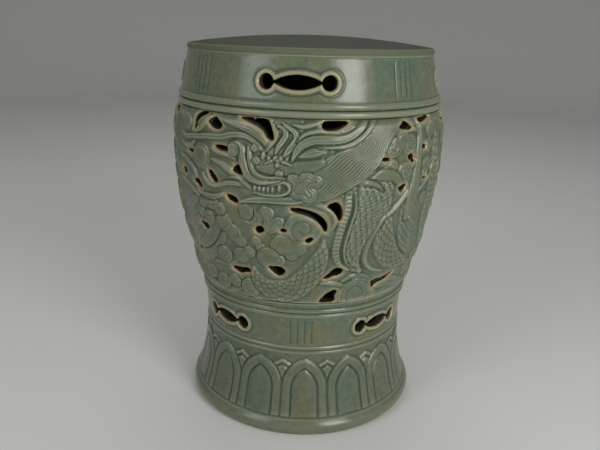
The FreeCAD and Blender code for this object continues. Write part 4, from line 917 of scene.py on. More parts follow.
def lay_clouds(ring):
    for line in SWEEPS:
        stroke(ring, "lower_clouds", combed(0.84, 0.9, 3.2), line)
    for level, bands in CLOUD_BANDS.items():
        for line in bands:
            stroke(ring, level + "_clouds", combed(0.9, 0.7, 3.2), line)
    for level, clouds in CLOUDS.items():
        for lobes in clouds:
            cloud(ring, level + "_clouds", lobes)


def lay_body(ring):
    # The back rises at the edge of the view, and the tail curls up behind it
    stroke(ring, "body", scaled(1.0), [
        (60, 196, 3), (60.5, 184, 7), (61.5, 165, 10), (62, 146, 11.5), (61.5, 127, 12.5), (61, 107, 13),
        (61.5, 88, 12), (64, 71, 10), (68.5, 58, 8)])
    stroke(ring, "body", scaled(1.0, 5.0, 0.85), [
        (73.5, 52, 7), (80, 53, 7), (86.5, 60, 6.4), (90, 73, 5.8), (88.4, 87, 5), (83.5, 94, 4),
        (79.6, 90, 2.4)])
    # Hair on the tail and beside the back
    for line in (
        [(93, 90, 1.4), (93.5, 99, 2.8), (90.6, 107, 2.8), (86, 110, 1.4)],
        [(84, 101, 1.4), (80, 104, 2.6), (76.5, 109, 1.4)],
        [(49.5, 128, 1.6), (53, 137, 3.2), (58, 146, 3.4), (60, 160, 3.2), (61, 176, 3), (65, 185, 1.8)]):
        stroke(ring, "body", combed(0.95, 0.7, 3.0), line)
    # Loop of the body at the foot of the belly
    stroke(ring, "body", scaled(0.98, 6.0, 0.9), [
        (7.4, 84, 3), (7, 70, 8), (5, 54, 12), (1, 36, 14.5), (-5, 21.5, 15), (-12, 18, 14.5),
        (-18.5, 24, 11.5), (-21.4, 35, 7), (-22, 46, 2.5)])
    # Haunch, in two swells
    stroke(ring, "body", scaled(0.92, 6.0, 0.85), [
        (42.5, 126, 4), (43.5, 110, 10), (45, 92, 13), (47, 74, 12), (50.5, 58, 7)])
    stroke(ring, "body", scaled(0.98, 6.0, 0.95), [
        (31, 126, 8), (31.6, 112, 12), (32.6, 92, 14), (35, 72, 16), (39.5, 56, 15), (46, 46, 11.5),
        (54, 39, 6)])
    # Neck and chest, the band that comes down from the limb, the belly plates and their border
    stroke(ring, "body", scaled(1.05, 6.0), [
        (27, 141, 22), (26.5, 126, 22.5), (24, 104, 20), (21.6, 84, 15.5), (19.8, 68, 11.5), (20.6, 54, 9),
        (24.6, 43, 4)])
    stroke(ring, "body", hemmed(0.98, 1.8), [
        (44.5, 140, 2), (41.5, 128, 3.4), (37.5, 117, 3.8), (33.6, 109, 3.8), (31.6, 106, 3.6), (29, 95, 4),
        (26.8, 82, 4.4), (25.6, 68, 4.6), (26.6, 54, 4), (30.4, 44, 3.2), (37, 37.5, 1.8)])
    stroke(ring, "body", ribbed(0.95), [
        (15.6, 136, 4.4), (15.6, 120, 5), (14, 102, 5), (12.8, 84, 5), (12.6, 68, 4.6), (14.6, 55, 3.8),
        (19, 46, 2.6)])
    stroke(ring, "body", plain(1.08, 1.6), [
        (18.4, 138, 1), (18.8, 120, 1.6), (17.4, 102, 1.7), (16.2, 84, 1.6), (16, 69, 1.5), (17.8, 56, 1.4),
        (21.6, 47.5, 0.9)])
    # Limb that reaches up to the rim, and the flames of hair at the shoulder
    stroke(ring, "body", hemmed(1.02), [
        (43.6, 102, 4.5), (44.4, 109, 8), (45.2, 120, 9.2), (46.4, 134, 8), (47.0, 149, 6.4),
        (47.4, 163, 5.6), (47.4, 178, 5.0), (47.6, 193, 4.4), (46.6, 206, 3.4), (44.6, 216, 2)])
    for line in (
        [(38.6, 132, 1.6), (37.5, 144, 4.6), (34, 153, 6.5), (29, 156, 7), (24.5, 153.5, 3)],
        [(29.6, 138, 1.6), (26.5, 145.5, 3.6), (21.5, 148.5, 3.6), (15.5, 146, 1.6)],
        [(15.5, 138, 1.6), (14.2, 143.5, 3), (16.5, 147.5, 2)]):
        stroke(ring, "body", combed(1.0, 0.8, 2.6), line)


def lay_mane(ring):
    """Combed hair that sweeps back from the jaw and up to the rim."""
    stroke(ring, "mane", combed(0.95, 1.25, 3.0, shoulder=4.0, wave=1.4), [
        (0, 137, 13), (5, 146.5, 19), (11, 158, 21.5), (17, 168.5, 22), (22, 179.5, 20.5), (26, 192.5, 17),
        (30, 206, 15), (34, 221, 13.5)])


def lay_head(ring):
    def lock(profile, points):
        stroke(ring, "head", profile, points)

    def pad(share, *lobes):
        cloud(ring, "head", lobes, share)

    # Cheek, beard and jaw
    lock(combed(0.86, 0.75, 2.7, shoulder=4.0, wave=0.6), [
        (-21, 168, 5), (-17, 165.5, 8.5), (-11, 164, 9), (-5, 163.5, 8.5), (0, 165.5, 7.5), (5, 170, 5)])
    pad(0.86, (-22.4, 110, 11.5, 0, 0), (-19.5, 106, 9, 0, 0))
    lock(combed(0.88, 0.75, 2.1), [(-23.4, 121.5, 4), (-23.4, 117, 9), (-23, 111, 8.5)])
    lock(combed(0.98, 0.7, strands=2), [
        (-26.4, 122, 1.5), (-22, 125.8, 3.6), (-17, 128.2, 4.6), (-11, 129, 5), (-5, 130, 5.6), (-1, 131, 4)])
    pad(1.0, (-10, 157.2, 4.8, 0, 0), (-5, 152.5, 6.5, 0, 0), (0, 151.5, 9.5, 0, 0),
        (3.3, 151, 7, 0, 0), (0.8, 136.5, 9, 0, 0), (-3, 141, 10, 0, 0))
    lock(combed(0.95, 0.7, 2.6), [(-30, 148, 1.8), (-26, 149, 3.2), (-23, 144, 3.4), (-20.6, 138.6, 1.6)])

    # Mouth
    for tooth in range(5):
        angle = -19.2 + 1.7 * tooth
        lock(plain(0.98, 1.6), [(angle, 142, 1.9), (angle, 139, 1.9), (angle + 0.1, 136.4, 1.3)])
    lock(plain(1.05, 1.8), [(-9.9, 146, 2.3), (-9.9, 142, 2), (-9.8, 137.5, 1)])
    lock(plain(1.08, 2.0), [
        (-18, 145, 1.4), (-13, 145.4, 2), (-10, 148, 2.2), (-7.8, 148.8, 2.4), (-6.3, 145.5, 2.4),
        (-6.1, 141, 2.4), (-7.6, 136.8, 2.2), (-10.5, 134.6, 1.9), (-15, 134, 1.7), (-19.6, 135.2, 1.3)])

    # Snout, wrapped in parallel folds, and its curled tip
    lock(combed(1.06, 0.8, strands=2), [
        (-21.6, 183, 2.2), (-21.2, 172, 3.4), (-20.4, 161, 3.8), (-18.2, 154.4, 3.8), (-14.5, 152, 3.2),
        (-10.5, 153.2, 2.2), (-7.6, 152.8, 1.3)])
    lock(combed(1.12, 0.9, strands=3), [
        (-29.4, 184.4, 1.8), (-26.8, 186, 2.8), (-24.7, 182.5, 3.8), (-24.1, 172, 4.8), (-23.3, 161, 5),
        (-21.3, 151.6, 4.8), (-17.2, 147.2, 3.6), (-12.8, 148.2, 2.6), (-9.6, 150.2, 1.5)])
    pad(1.05, (-27.9, 178.2, 7.6, 0, 1))
    pad(1.0, (-18.6, 169.5, 4.8, 90, -1))
    pad(1.0, (-19.4, 182, 4.4, 0, 1))

    # Eye under a row of brow tufts
    lock(plain(1.05, 2.0), [(-15.4, 166.5, 1.2), (-12.4, 171, 2.3), (-8.6, 170.4, 2.3), (-5.4, 166.5, 1.2)])
    disc(ring, "head", -10.8, 166.4, 3.2, 1.05, 1.8)
    for tuft in range(6):
        angle = -16.2 + 2.2 * tuft
        lock(plain(0.96, 2.2), [(angle, 171.5, 1.6), (angle + 0.3, 175.5, 3.0), (angle + 0.7, 180.5, 1.5)])

    # Forelocks, ear and horns
    lock(combed(0.84, 0.8, 3.0, shoulder=4.0, wave=0.8), [
        (-13, 181, 6), (-9.6, 189, 13), (-7.6, 199, 16), (-7, 210, 15)])
    lock(combed(1.0, 0.75, 3.0), [
        (-14.8, 180, 1.6), (-13.2, 187, 3.2), (-11.8, 193, 3.6), (-11.4, 199, 3.6), (-12.6, 204, 3.4),
        (-13.8, 208, 3.2), (-13.2, 213, 2)])
    lock(combed(1.05, 0.75, 3.2), [
        (-11.4, 178, 1.6), (-10.4, 185, 3.4), (-8.8, 191.5, 3.8), (-7.7, 198, 3.6), (-8.6, 203.5, 3),
        (-10.8, 206, 1.8)])
    lock(combed(1.1, 0.8, 3.6), [
        (-8.4, 176, 1.8), (-6.8, 181.5, 4.2), (-5, 188.5, 4.4), (-4, 195, 4), (-4.8, 201, 3.4),
        (-7.2, 205.4, 2.6), (-9.2, 209.5, 1.6)])
    lock(combed(0.95, 0.7, 2.8), [(-5.6, 208, 1.5), (-1.6, 206, 3), (1.6, 208.6, 3), (4.2, 212, 1.6)])
    lock(combed(1.0, 0.85, 2.8), [(-3.2, 176, 1.8), (0.2, 179.2, 5), (3.8, 181.4, 5), (6.6, 181.6, 2)])
    lock(combed(1.04, 0.7, strands=2), [
        (4, 186, 1.4), (9, 186.4, 2.8), (14, 188, 3.6), (18.4, 194, 3.8), (22, 203, 3.6), (25.4, 215, 2.4)])
    lock(plain(1.02), [(-3.8, 188, 1.6), (-2, 196.4, 2.8), (1.5, 201, 3.2), (6, 202, 3), (11, 200.8, 2.4)])
    lock(hemmed(1.12, 3.0), [
        (-5.4, 172, 1.6), (-4, 181, 3.8), (-1.6, 188.8, 4.8), (2, 193.2, 5.2), (7, 193.8, 5.2),
        (12, 194.4, 4.8), (16, 198.6, 4.4), (19.5, 206.5, 3.8), (22, 216, 2.6)])


# Half of the belly: where its grid starts and how fine it is
CARVING_START = -62.0
BELLY_ROWS, BELLY_COLUMNS = 256, 600
# Combed lines in the ground follow the forms, and fade out close to them
GROUND_COMB = 0.8
GROUND_COMB_FADE = 1.6
# The relief stops above a plain margin, and dies away under the shoulder's cordon
MARGIN_LOW, MARGIN_FADE = 3.2, 2.0
TOP_FADE, TOP_SHARE = 9.0, 0.35
JOINT_DEPTH, JOINT_WIDTH = 0.6, 1.2


@functools.lru_cache
def belly():
    """Half of the belly: its carving goes twice round."""
    ring = Ring(drum_radius, BELLY_LOW, BELLY_TOP, BELLY_ROWS, BELLY_COLUMNS, CARVING_START, CARVING_SWEEP)
    ring.outlined = True
    ring.height += GROUND_SHARE * mm(sizes().relief)
    for lay in (lay_clouds, lay_body, lay_pearls, lay_mane, lay_head):
        lay(ring)
    for outline in HOLES:
        hole(ring, outline)
    away = np.maximum(ring.clear, 0)
    comb = GROUND_COMB * (0.5 + 0.5 * np.cos(2 * np.pi * away / mm(sizes().strand)))
    ring.height -= np.where(ring.owner == GROUND, comb * np.clip(away / GROUND_COMB_FADE, 0, 1), 0)
    rim = np.minimum(ring.z - BELLY_LOW, BELLY_TOP - ring.z)
    plain_rim = np.clip((BELLY_LOW + MARGIN_LOW - ring.z) / MARGIN_FADE, 0, 1)
    ring.height = ring.height * (1 - plain_rim) - JOINT_DEPTH * incised(rim, JOINT_WIDTH)
    ring.height *= np.clip(TOP_SHARE + (BELLY_TOP - ring.z) / TOP_FADE, 0, 1)
    ring.settle(mm(sizes().hole_edge))
    ring.turn = ring.turn + CARVING_TURN
    turned_by = math.radians(CARVING_TURN)
    spin = np.array([[math.cos(turned_by), math.sin(turned_by), 0],
                     [-math.sin(turned_by), math.cos(turned_by), 0], [0, 0, 1]])
    ring.normal = ring.normal @ spin
    ring.out = ring.out @ spin
    return ring


def both_sides(piece, slot, *nodes):
    """The piece and its copy half way round, which together stand for the nodes."""
    twin = bpy.data.objects.new(piece.name.replace("front", "back"), piece.data)
    bpy.context.collection.objects.link(twin)
    twin.rotation_euler.z = math.pi
    dress(piece, slot, *nodes)
    dress(twin, slot)


# Materials
def add_node(tree, kind, settings=(), inputs=()):
    """One node with its settings; an input is a plain value or another node's output."""
    node = tree.nodes.new(kind)
    for key, value in dict(settings).items():
        setattr(node, key, value)
    for key, value in dict(inputs).items():
        socket = node.inputs[key]
        if isinstance(value, bpy.types.NodeSocket):
            tree.links.new(value, socket)
        else:
            socket.default_value = value
    return node


def new_material(name):
    material = bpy.data.materials.new(name)
    material.use_nodes = True
    material.node_tree.nodes.clear()
    return material


def rgba(value):
    return (*value, 1.0)


def per_metre(millimetres):
    """Noise scale at which one cell is this wide."""
    return 1000.0 / millimetres


# Widths in mm of the slow change of hue and of the fine mottle
HUE_CELL = 38
MOTTLE_CELL = 6
# Linear factors on the glaze's colour where the kiln was poorer and richer in air
GREENER = (0.84, 0.98, 0.96)
BROWNER = (1.18, 1.02, 0.84)


@functools.lru_cache
def glaze(name, shade_tone=1.0, seat=False):
    """Celadon: a glassy iron glaze fired over grey stoneware. It runs dark and thick into grooves, draws thin
    and pale over ridges, and leaves cut edges cream, so the carving reads like a drawing. Bare clay is painted
    dark as shade, and a tone below 1 darkens the glaze as painted shade."""
    material = new_material(name)
    tree = material.node_tree
    look = colours()
    # The seat's colour is the walls' glaze painted darker as shade on its top; a tone below 1, as on the foot,
    # darkens a glaze as painted shade
    base = [part * shade_tone for part in (look.seat if seat else look.body)]
    thin = [part * shade_tone for part in look.thin]
    where = add_node(tree, "ShaderNodeTexCoord").outputs["Object"]
    pool, rim, raw = (add_node(tree, "ShaderNodeAttribute", {"attribute_name": label}).outputs["Fac"]
                      for label in ("pool", "rim", "raw"))
    cloudy, mottle = (
        add_node(tree, "ShaderNodeTexNoise", (), {
            "Vector": where, "Scale": per_metre(cell), "Detail": detail, "Roughness": fine}).outputs["Fac"]
        for cell, detail, fine in ((HUE_CELL, 3.0, 0.55), (MOTTLE_CELL, 4.0, 0.6)))

    # Glaze at its usual thickness
    hue = add_node(tree, "ShaderNodeMapRange", (), {
        "Value": cloudy, "From Min": 0.35, "From Max": 0.65}).outputs["Result"]
    green, brown = ([part * factor for part, factor in zip(base, cast)] for cast in (GREENER, BROWNER))
    body = add_node(tree, "ShaderNodeMix", {"data_type": "RGBA"}, {
        0: hue, 6: rgba(green), 7: rgba(brown)}).outputs[2]
    spots = add_node(tree, "ShaderNodeMapRange", (), {
        "Value": mottle, "From Min": 0.3, "From Max": 0.72, "To Min": 0.8, "To Max": 1.18}).outputs["Result"]
    body = add_node(tree, "ShaderNodeVectorMath", {"operation": "SCALE"}, {0: body, "Scale": spots}).outputs[0]

    # Pooled in grooves, thin on ridges, cream at cut edges, and bare clay inside painted dark as shade
    for value, low, high, most, curve, paint in (
            (pool, 0.05, 1.1, 1.0, "SMOOTHSTEP", look.pooled),
            (pool, -0.1, -1.3, 1.0, "SMOOTHSTEP", thin),
            (rim, 0.15, 1.0, 0.85, "LINEAR", look.edge),
            (raw, 0.0, 0.15, 1.0, "SMOOTHSTEP", look.clay)):
        share = add_node(tree, "ShaderNodeMapRange", {"interpolation_type": curve}, {
            "Value": value, "From Min": low, "From Max": high, "To Max": most}).outputs["Result"]
        body = add_node(tree, "ShaderNodeMix", {"data_type": "RGBA"}, {
            0: share, 6: body, 7: rgba(paint)}).outputs[2]

    # The worn seat is duller than the walls, and bare clay, the last share, is matt
    rough = add_node(tree, "ShaderNodeMapRange", (), {
        "Value": share, "To Min": 0.5 if seat else 0.22, "To Max": 0.85}).outputs["Result"]
    skin = add_node(tree, "ShaderNodeBump", (), {
        "Strength": 0.25, "Distance": 0.0006, "Height": mottle}).outputs["Normal"]
    shader = add_node(tree, "ShaderNodeBsdfPrincipled", (), {
        "Base Color": body, "Roughness": rough, "Normal": skin, "IOR": 1.5,
        "Specular IOR Level": 0.05 if seat else 0.5})
    add_node(tree, "ShaderNodeOutputMaterial", (), {"Surface": shader.outputs[0]})
    return material


# Seat, from the seam under its rolled edge to the shallow vault beneath
SEAT_FOOT = SEAT_RADIUS - 1.0
SEAT_SEAM = (SEAT_RADIUS - 1.2, SHOULDER_TOP + 1.0)
SEAT_ROLL_FOOT = (SEAT_RADIUS - 0.2, SHOULDER_TOP + 1.6)
SEAT_ROLL = 2.0
SEAT_EDGE = (SEAT_RADIUS - 2.5, SEAT_EDGE_TOP)
SEAT_CLAY = 12.0
VAULT_RADIUS = SEAT_RADIUS - 10.0
VAULT_RISE = 7.0
VAULT_STEPS = 10
BARE_RIM = 6.0
DOME_STEPS = 60
SEAT_STEP = 3.0


class STOOL_OT_seat(bpy.types.Operator):
    """Domed seat with its rolled edge and the dark seam under it"""
    bl_idname = "stool.seat"
    bl_label = "Seat"

    def execute(self, context):
        def bare_within(z):
            return SEAT_RADIUS - BARE_RIM if z < SHOULDER_TOP + VAULT_RISE else -1

        radius, z = SEAT_EDGE
        dome = arc((radius, z), (-radius, z), SEAT_TOP - z, DOME_STEPS)
        outline = [(SEAT_FOOT, SHOULDER_TOP), SEAT_SEAM, *arc(SEAT_ROLL_FOOT, SEAT_EDGE, SEAT_ROLL, 10)]
        outline += dome[:DOME_STEPS // 2] + [(0.0, SEAT_TOP), (0.0, SEAT_TOP - SEAT_CLAY)]
        for step in range(1, VAULT_STEPS + 1):
            part = step / VAULT_STEPS
            outline.append((VAULT_RADIUS * part, SHOULDER_TOP + VAULT_RISE * (1 - part ** 2)))
        piece = turned("seat_slab", outline, glaze("seat_celadon", seat=True), bare_within, SEAT_STEP)
        dress(piece, "seat_glaze", "seat_slab")
        return {"FINISHED"}


# Cordons: the radius they rise from, where one bead meets the next, and how far each stands out from below up
SHOULDER_ROOT = 155.6
SHOULDER_MEET = BELLY_TOP + 8.0
SHOULDER_BEADS = (3.9, 3.0)
WAIST_BEADS = (2.2, 2.0)
SKIRT_ROOT = 127.83
SKIRT_MEET = SKIRT_TOP + 5
SKIRT_BEADS = (1.6, 1.0)
# Clay behind the beads, at the top and the foot of a cordon
CORDON_CLAY = 10
CORDON_CLAY_WIDE = 11
CORDON_STEP = 1.2
CORDON_NOTCH = 0.4
BEAD_STEPS = 12
# Glaze reaches this far in from a cordon's root
SHOULDER_GLAZE = 5
CORDON_GLAZE = 4

# Foot: its bulge from the floor up to the skirt, the groove under the skirt, and the bare ring it stands on
FOOT_RADIUS = 145.0
FOOT_BULGE = 4.0
FOOT_LOW, FOOT_HIGH = (FOOT_RADIUS, 2.2), (FOOT_RADIUS - 1, FOOT_TOP - 2)
FOOT_STAND = [(FOOT_RADIUS - 3, 0.0), (FOOT_RADIUS - 0.8, 0.8)]
FOOT_GROOVE = [(FOOT_RADIUS - 1.6, FOOT_TOP - 1), (FOOT_RADIUS - 4.5, FOOT_TOP)]
FOOT_INSIDE = FOOT_RADIUS - 16
# How far in the foot is glazed, above the floor and on it
FOOT_GLAZE, FOOT_WIPED = 10, 2
FOOT_STEP = 1.6
# The foot's and skirt's glaze is darkened to this share of its colour as painted shade
FOOT_SHADE_TONE = 0.88


class STOOL_OT_cordons(bpy.types.Operator):
    """Beaded rings between the sections, and the foot"""
    bl_idname = "stool.cordons"
    bl_label = "Cordons and foot"

    def execute(self, context):
        def cordon(name, beads, back, bare):
            piece = turned(name, beads + back, glaze("band_celadon"), lambda z: bare, CORDON_STEP)
            dress(piece, "band_glaze", name)

        root = SHOULDER_ROOT
        top = float(drum_radius(np.array(BELLY_TOP)))
        beads = arc((root, BELLY_TOP), (root, SHOULDER_MEET), SHOULDER_BEADS[0], BEAD_STEPS)
        beads += arc((root, SHOULDER_MEET), (root, SHOULDER_LOW), SHOULDER_BEADS[1], BEAD_STEPS)
        cordon("shoulder_cordon", beads,
               [(root - CORDON_NOTCH, SHOULDER_LOW), (SHOULDER_FOOT - CORDON_CLAY, SHOULDER_LOW),
                (top - CORDON_CLAY_WIDE, BELLY_TOP)], root - SHOULDER_GLAZE)

        third = (BELLY_LOW - WAIST_TOP) / 3
        levels = [WAIST_TOP + third * part for part in range(4)]
        rings = [(float(drum_radius(np.array(z))), z) for z in levels]
        beads = arc(rings[0], rings[1], WAIST_BEADS[0], 10) + arc(rings[1], rings[2], WAIST_BEADS[1], 10)
        cordon("waist_cordon", beads,
               [rings[2], rings[3], (rings[3][0] - CORDON_CLAY_WIDE, BELLY_LOW),
                (rings[0][0] - CORDON_CLAY, WAIST_TOP)], rings[0][0] - CORDON_GLAZE)

        root = SKIRT_ROOT
        high = float(drum_radius(np.array(WAIST_LOW)))
        beads = arc((root, SKIRT_TOP), (root, SKIRT_MEET), SKIRT_BEADS[0], 8)
        beads += arc((root, SKIRT_MEET), (high, WAIST_LOW), SKIRT_BEADS[1], 8)
        cordon("skirt_cordon", beads,
               [(high, WAIST_LOW), (high - CORDON_CLAY, WAIST_LOW), (root - CORDON_CLAY, SKIRT_TOP)],
               root - CORDON_GLAZE)

        def bare_within(z):
            return FOOT_RADIUS - (FOOT_GLAZE if z > 1 else FOOT_WIPED)

        outline = FOOT_STAND + arc(FOOT_LOW, FOOT_HIGH, FOOT_BULGE, 14) + FOOT_GROOVE
        outline += [(FOOT_INSIDE, FOOT_TOP), (FOOT_INSIDE, 0.0)]
        piece = turned("foot_rim", outline, glaze("foot_celadon", FOOT_SHADE_TONE), bare_within, FOOT_STEP)
        dress(piece, "foot_glaze", "foot_rim")
        return {"FINISHED"}


# Hand openings: (height of the middle, half length and half height of the lens, radius of the lobes, half
# height of the neck between them)
SHOULDER_OPENING = (416.0, 24.5, 7.6, 7.9, 1.1)
WAIST_OPENING = (130.5, 19.5, 7.8, 8.0, 1.2)
OPENING_MARGIN = 16
# The roll round an opening: its width, where its ridge lies and its half width as shares of that
LIP_WIDTH = 4.6
LIP_RIDGE = 0.42
LIP_HALF = 0.62
LIP_INWARD = 6

# Flutes
FLUTES = 4
FLUTE_PITCH = 8.2
FLUTE_DEPTH = 1.15
FLUTE_HALF = 1.0
FLUTE_INSET = 3

QUARTERS = (0, 90, 180, 270)
BAND_COLUMNS = 880
BAND_WALL = 10.0
# Rounding of the bands' holes and how much their heights are blurred
BAND_EDGE, BAND_BLUR = 1.3, 0.6
# Cut round each roll (depth, distance, width), and along the joints with the next section (depth, width)
ROLL_CUT = (0.45, 1.2, 1.4)
JOINT_CUT = (0.5, 1.2)


def opening(ring, name, shape, turn):
    """A lens between two round lobes, with a raised roll round it."""
    middle_z, lens_half, lens_rise, lobe, neck = shape
    arc_rise = lens_rise - neck
    bow = (lens_half ** 2 + arc_rise ** 2) / (2 * arc_rise)
    lobe_x = lens_half + math.sqrt(lobe ** 2 - neck ** 2)
    for quarter_turn in QUARTERS:
        rows, columns, x, y = ring.window(turn + quarter_turn, lens_half + 2 * lobe + OPENING_MARGIN, -FAR, FAR)
        y = y - middle_z
        lens = np.minimum(bow - np.hypot(x, y - lens_rise + bow), bow - np.hypot(x, y + lens_rise - bow))
        lobes = lobe - np.hypot(np.abs(x) - lobe_x, y)
        distance = -np.maximum(lens, lobes)
        ridge = (distance - LIP_RIDGE * LIP_WIDTH) / (LIP_HALF * LIP_WIDTH)
        roll = mm(sizes().lip) * np.sqrt(np.clip(1 - ridge ** 2, 0, 1))
        ring.lay(name, rows, columns, roll, np.where(distance > -LIP_INWARD, LIP_WIDTH - distance, -1))
        ring.pierce(rows, columns, distance)


def flutes(ring, low, high, turn):
    """Upright grooves in groups, midway between the openings."""
    for quarter_turn in QUARTERS:
        for flute in range(FLUTES):
            step = math.degrees(FLUTE_PITCH / float(ring.round[0])) * (flute - (FLUTES - 1) / 2)
            rows, columns, x, y = ring.window(
                turn + step + quarter_turn, 4 * FLUTE_HALF, low + FLUTE_INSET, high - FLUTE_INSET)
            ring.height[np.ix_(rows, columns)] -= FLUTE_DEPTH * incised(x, FLUTE_HALF)


def band(name, radius, low, high, rows, shape, opening_turn, flute_turn):
    """Plain ring of the waist or the shoulder, and the rolls round its openings."""
    ring = Ring(radius, low, high, rows, BAND_COLUMNS)
    opening(ring, "lip", shape, opening_turn)
    away = np.maximum(ring.clear, 0)
    depth, distance, width = ROLL_CUT
    ring.height -= np.where(ring.owner == GROUND, depth * incised(away - distance, width), 0)
    flutes(ring, low, high, flute_turn)
    depth, width = JOINT_CUT
    ring.height -= depth * incised(np.minimum(ring.z - low, high - ring.z), width)
    ring.settle(BAND_EDGE, BAND_BLUR)
    skin = glaze("band_celadon")
    dress(ring.shell(name + "_band", "ground", skin, BAND_WALL), "band_glaze", name + "_band")
    dress(ring.shell(name + "_lips", "lip", skin), "band_glaze", name + "_opening_lips")


class STOOL_OT_bands(bpy.types.Operator):
    """Shoulder and waist: plain rings with lobed hand openings and flutes"""
    bl_idname = "stool.bands"
    bl_label = "Shoulder and waist"

    def execute(self, context):
        band("shoulder", shoulder_radius, SHOULDER_LOW, SHOULDER_TOP, 48, SHOULDER_OPENING, 0.0, 45.0)
        band("waist", drum_radius, WAIST_LOW, WAIST_TOP, 40, WAIST_OPENING, 49.0, 4.0)
        return {"FINISHED"}


class STOOL_OT_belly_wall(bpy.types.Operator):
    """Pierced belly wall, with combed ground between the relief"""
    bl_idname = "stool.belly_wall"
    bl_label = "Pierced belly wall"

    def execute(self, context):
        piece = belly().shell("belly_wall_front", "ground", glaze("carved_celadon"), mm(sizes().wall))
        both_sides(piece, "carved_wall_glaze", "belly_wall")
        return {"FINISHED"}


class STOOL_OT_dragons(bpy.types.Operator):
    """Dragons: head, mane and scaled body"""
    bl_idname = "stool.dragons"
    bl_label = "Dragons"

    def execute(self, context):
        skin = glaze("relief_celadon")
        both_sides(belly().shell("dragon_head_front", "head", skin), "relief_glaze",
                   "dragon_snouts", "dragon_teeth", "dragon_jaws", "dragon_jowls",
                   "dragon_ears", "dragon_horns", "dragon_forelocks", "dragon_beards")
        both_sides(belly().shell("dragon_mane_front", "mane", skin), "relief_glaze", "dragon_manes")
        both_sides(belly().shell("dragon_body_front", "body", skin), "relief_glaze",
                   "dragon_chests", "belly_plates", "dragon_body_loops", "dragon_haunches", "dragon_limbs",
                   "shoulder_flames", "dragon_backs", "dragon_tails")
        return {"FINISHED"}


class STOOL_OT_pearls(bpy.types.Operator):
    """Flaming pearls that the dragons chase"""
    bl_idname = "stool.pearls"
    bl_label = "Flaming pearls"

    def execute(self, context):
        both_sides(belly().shell("flaming_pearl_front", "pearl", glaze("relief_celadon")), "relief_glaze",
                   "flaming_pearls", "pearl_flames")
        return {"FINISHED"}


class STOOL_OT_clouds(bpy.types.Operator):
    """Curled clouds round the dragons"""
    bl_idname = "stool.clouds"
    bl_label = "Clouds"

    def execute(self, context):
        for level in CLOUDS:
            piece = belly().shell(level + "_clouds_front", level + "_clouds", glaze("relief_celadon"))
            both_sides(piece, "relief_glaze", level + "_cloud_scrolls")
        return {"FINISHED"}


# Lotus petals: each arch is (half width, height of its legs, height of its peak)
PETAL_TURN = 6.5
PETAL_ROWS, PETAL_COLUMNS = 80, 56
PETAL_GAP = 0.7
PETAL_LEG, PETAL_PEAK = 58.0, 94.5
BLADE = (14.8, 54.0, 80.5)
BLADE_GAP = 1.5
FOOT_GAP = 0.8
# Darts between the petals: their peak, the fall of their sides, the band's height, the gaps round them
DART_PEAK = 93.5
DART_SLOPE = 0.62
DART_BAND = 5.6
DART_STEP = 8.0
DART_GAP = 1.4
SKIRT_WALL = 10.0
# Each form's foot and rise as shares of the petals' relief, and the mm over which it rises
RIM_RISE = (0.25, 0.75, 3.4)
BLADE_RISE = (0.2, 0.8, 6.0)
BAND_RISE = (0.2, 0.75, 1.8)
DART_RISE = (0.2, 0.75, 2.2)
PETAL_EDGE, PETAL_BLUR = 1.0, 0.5


def arch(x, z, half, leg, peak):
    """Depth inside a pointed arch whose legs stand upright."""
    bow = (half ** 2 + (peak - leg) ** 2) / (2 * half)
    return np.where(z < leg, half - np.abs(x), bow - np.hypot(np.abs(x) + bow - half, z - leg))


class STOOL_OT_petals(bpy.types.Operator):
    """Flared foot with lotus petals and the darts between them"""
    bl_idname = "stool.petals"
    bl_label = "Lotus petals"

    def execute(self, context):
        petals = sizes().petals
        ring = Ring(skirt_radius, FOOT_TOP, SKIRT_TOP, PETAL_ROWS, PETAL_COLUMNS * petals)
        relief = mm(sizes().petal)
        every = (np.arange(len(ring.level)), np.arange(len(ring.angle)))

        def raise_clay(name, rise, inside):
            foot, rest, shoulder = rise
            ring.lay(name, *every, relief * (foot + rest * quarter(inside, shoulder)), inside)

        pitch = 360 / petals
        off = (ring.turn - PETAL_TURN + pitch / 2) % pitch - pitch / 2
        x = np.radians(off) * WAIST_RADIUS
        half = math.radians(pitch / 2) * WAIST_RADIUS
        outer = arch(x, ring.z, half - PETAL_GAP, PETAL_LEG, PETAL_PEAK)
        blade = arch(x, ring.z, *BLADE)
        above = ring.z - FOOT_TOP - FOOT_GAP
        raise_clay("rims", RIM_RISE, np.minimum(np.minimum(outer, -blade - BLADE_GAP), above))
        raise_clay("blades", BLADE_RISE, np.minimum(blade, above))
        top = DART_PEAK - DART_SLOPE * (half - np.abs(x))
        gap = -outer - DART_GAP
        chevron = np.minimum(np.minimum(top - ring.z, ring.z - (top - DART_BAND)), gap)
        raise_clay("darts", BAND_RISE, chevron)
        raise_clay("darts", DART_RISE, np.minimum(top - DART_STEP - ring.z, gap))
        ring.settle(PETAL_EDGE, PETAL_BLUR)
        # The skirt's glaze is darkened as painted shade, like the foot's
        skin = glaze("foot_celadon", FOOT_SHADE_TONE)
        dress(ring.shell("foot_skirt", "ground", skin, SKIRT_WALL), "foot_glaze", "foot_skirt")
        for part in ("rims", "blades"):
            dress(ring.shell("petal_" + part, part, skin), "foot_glaze", "lotus_petal_" + part)
        dress(ring.shell("petal_darts", "darts", skin), "foot_glaze", "petal_darts")
        return {"FINISHED"}


# The camera stands a little right of the front opening's middle, level with the seat
CAMERA_TURN = math.radians(4.5)
CAMERA_BACK = 0.7690
CAMERA_HEIGHT = 0.4677
CAMERA_DIP = 0.312
CAMERA_ROLL = 0.028
CAMERA_YAW = -0.009
CAMERA_LENS = 36.68


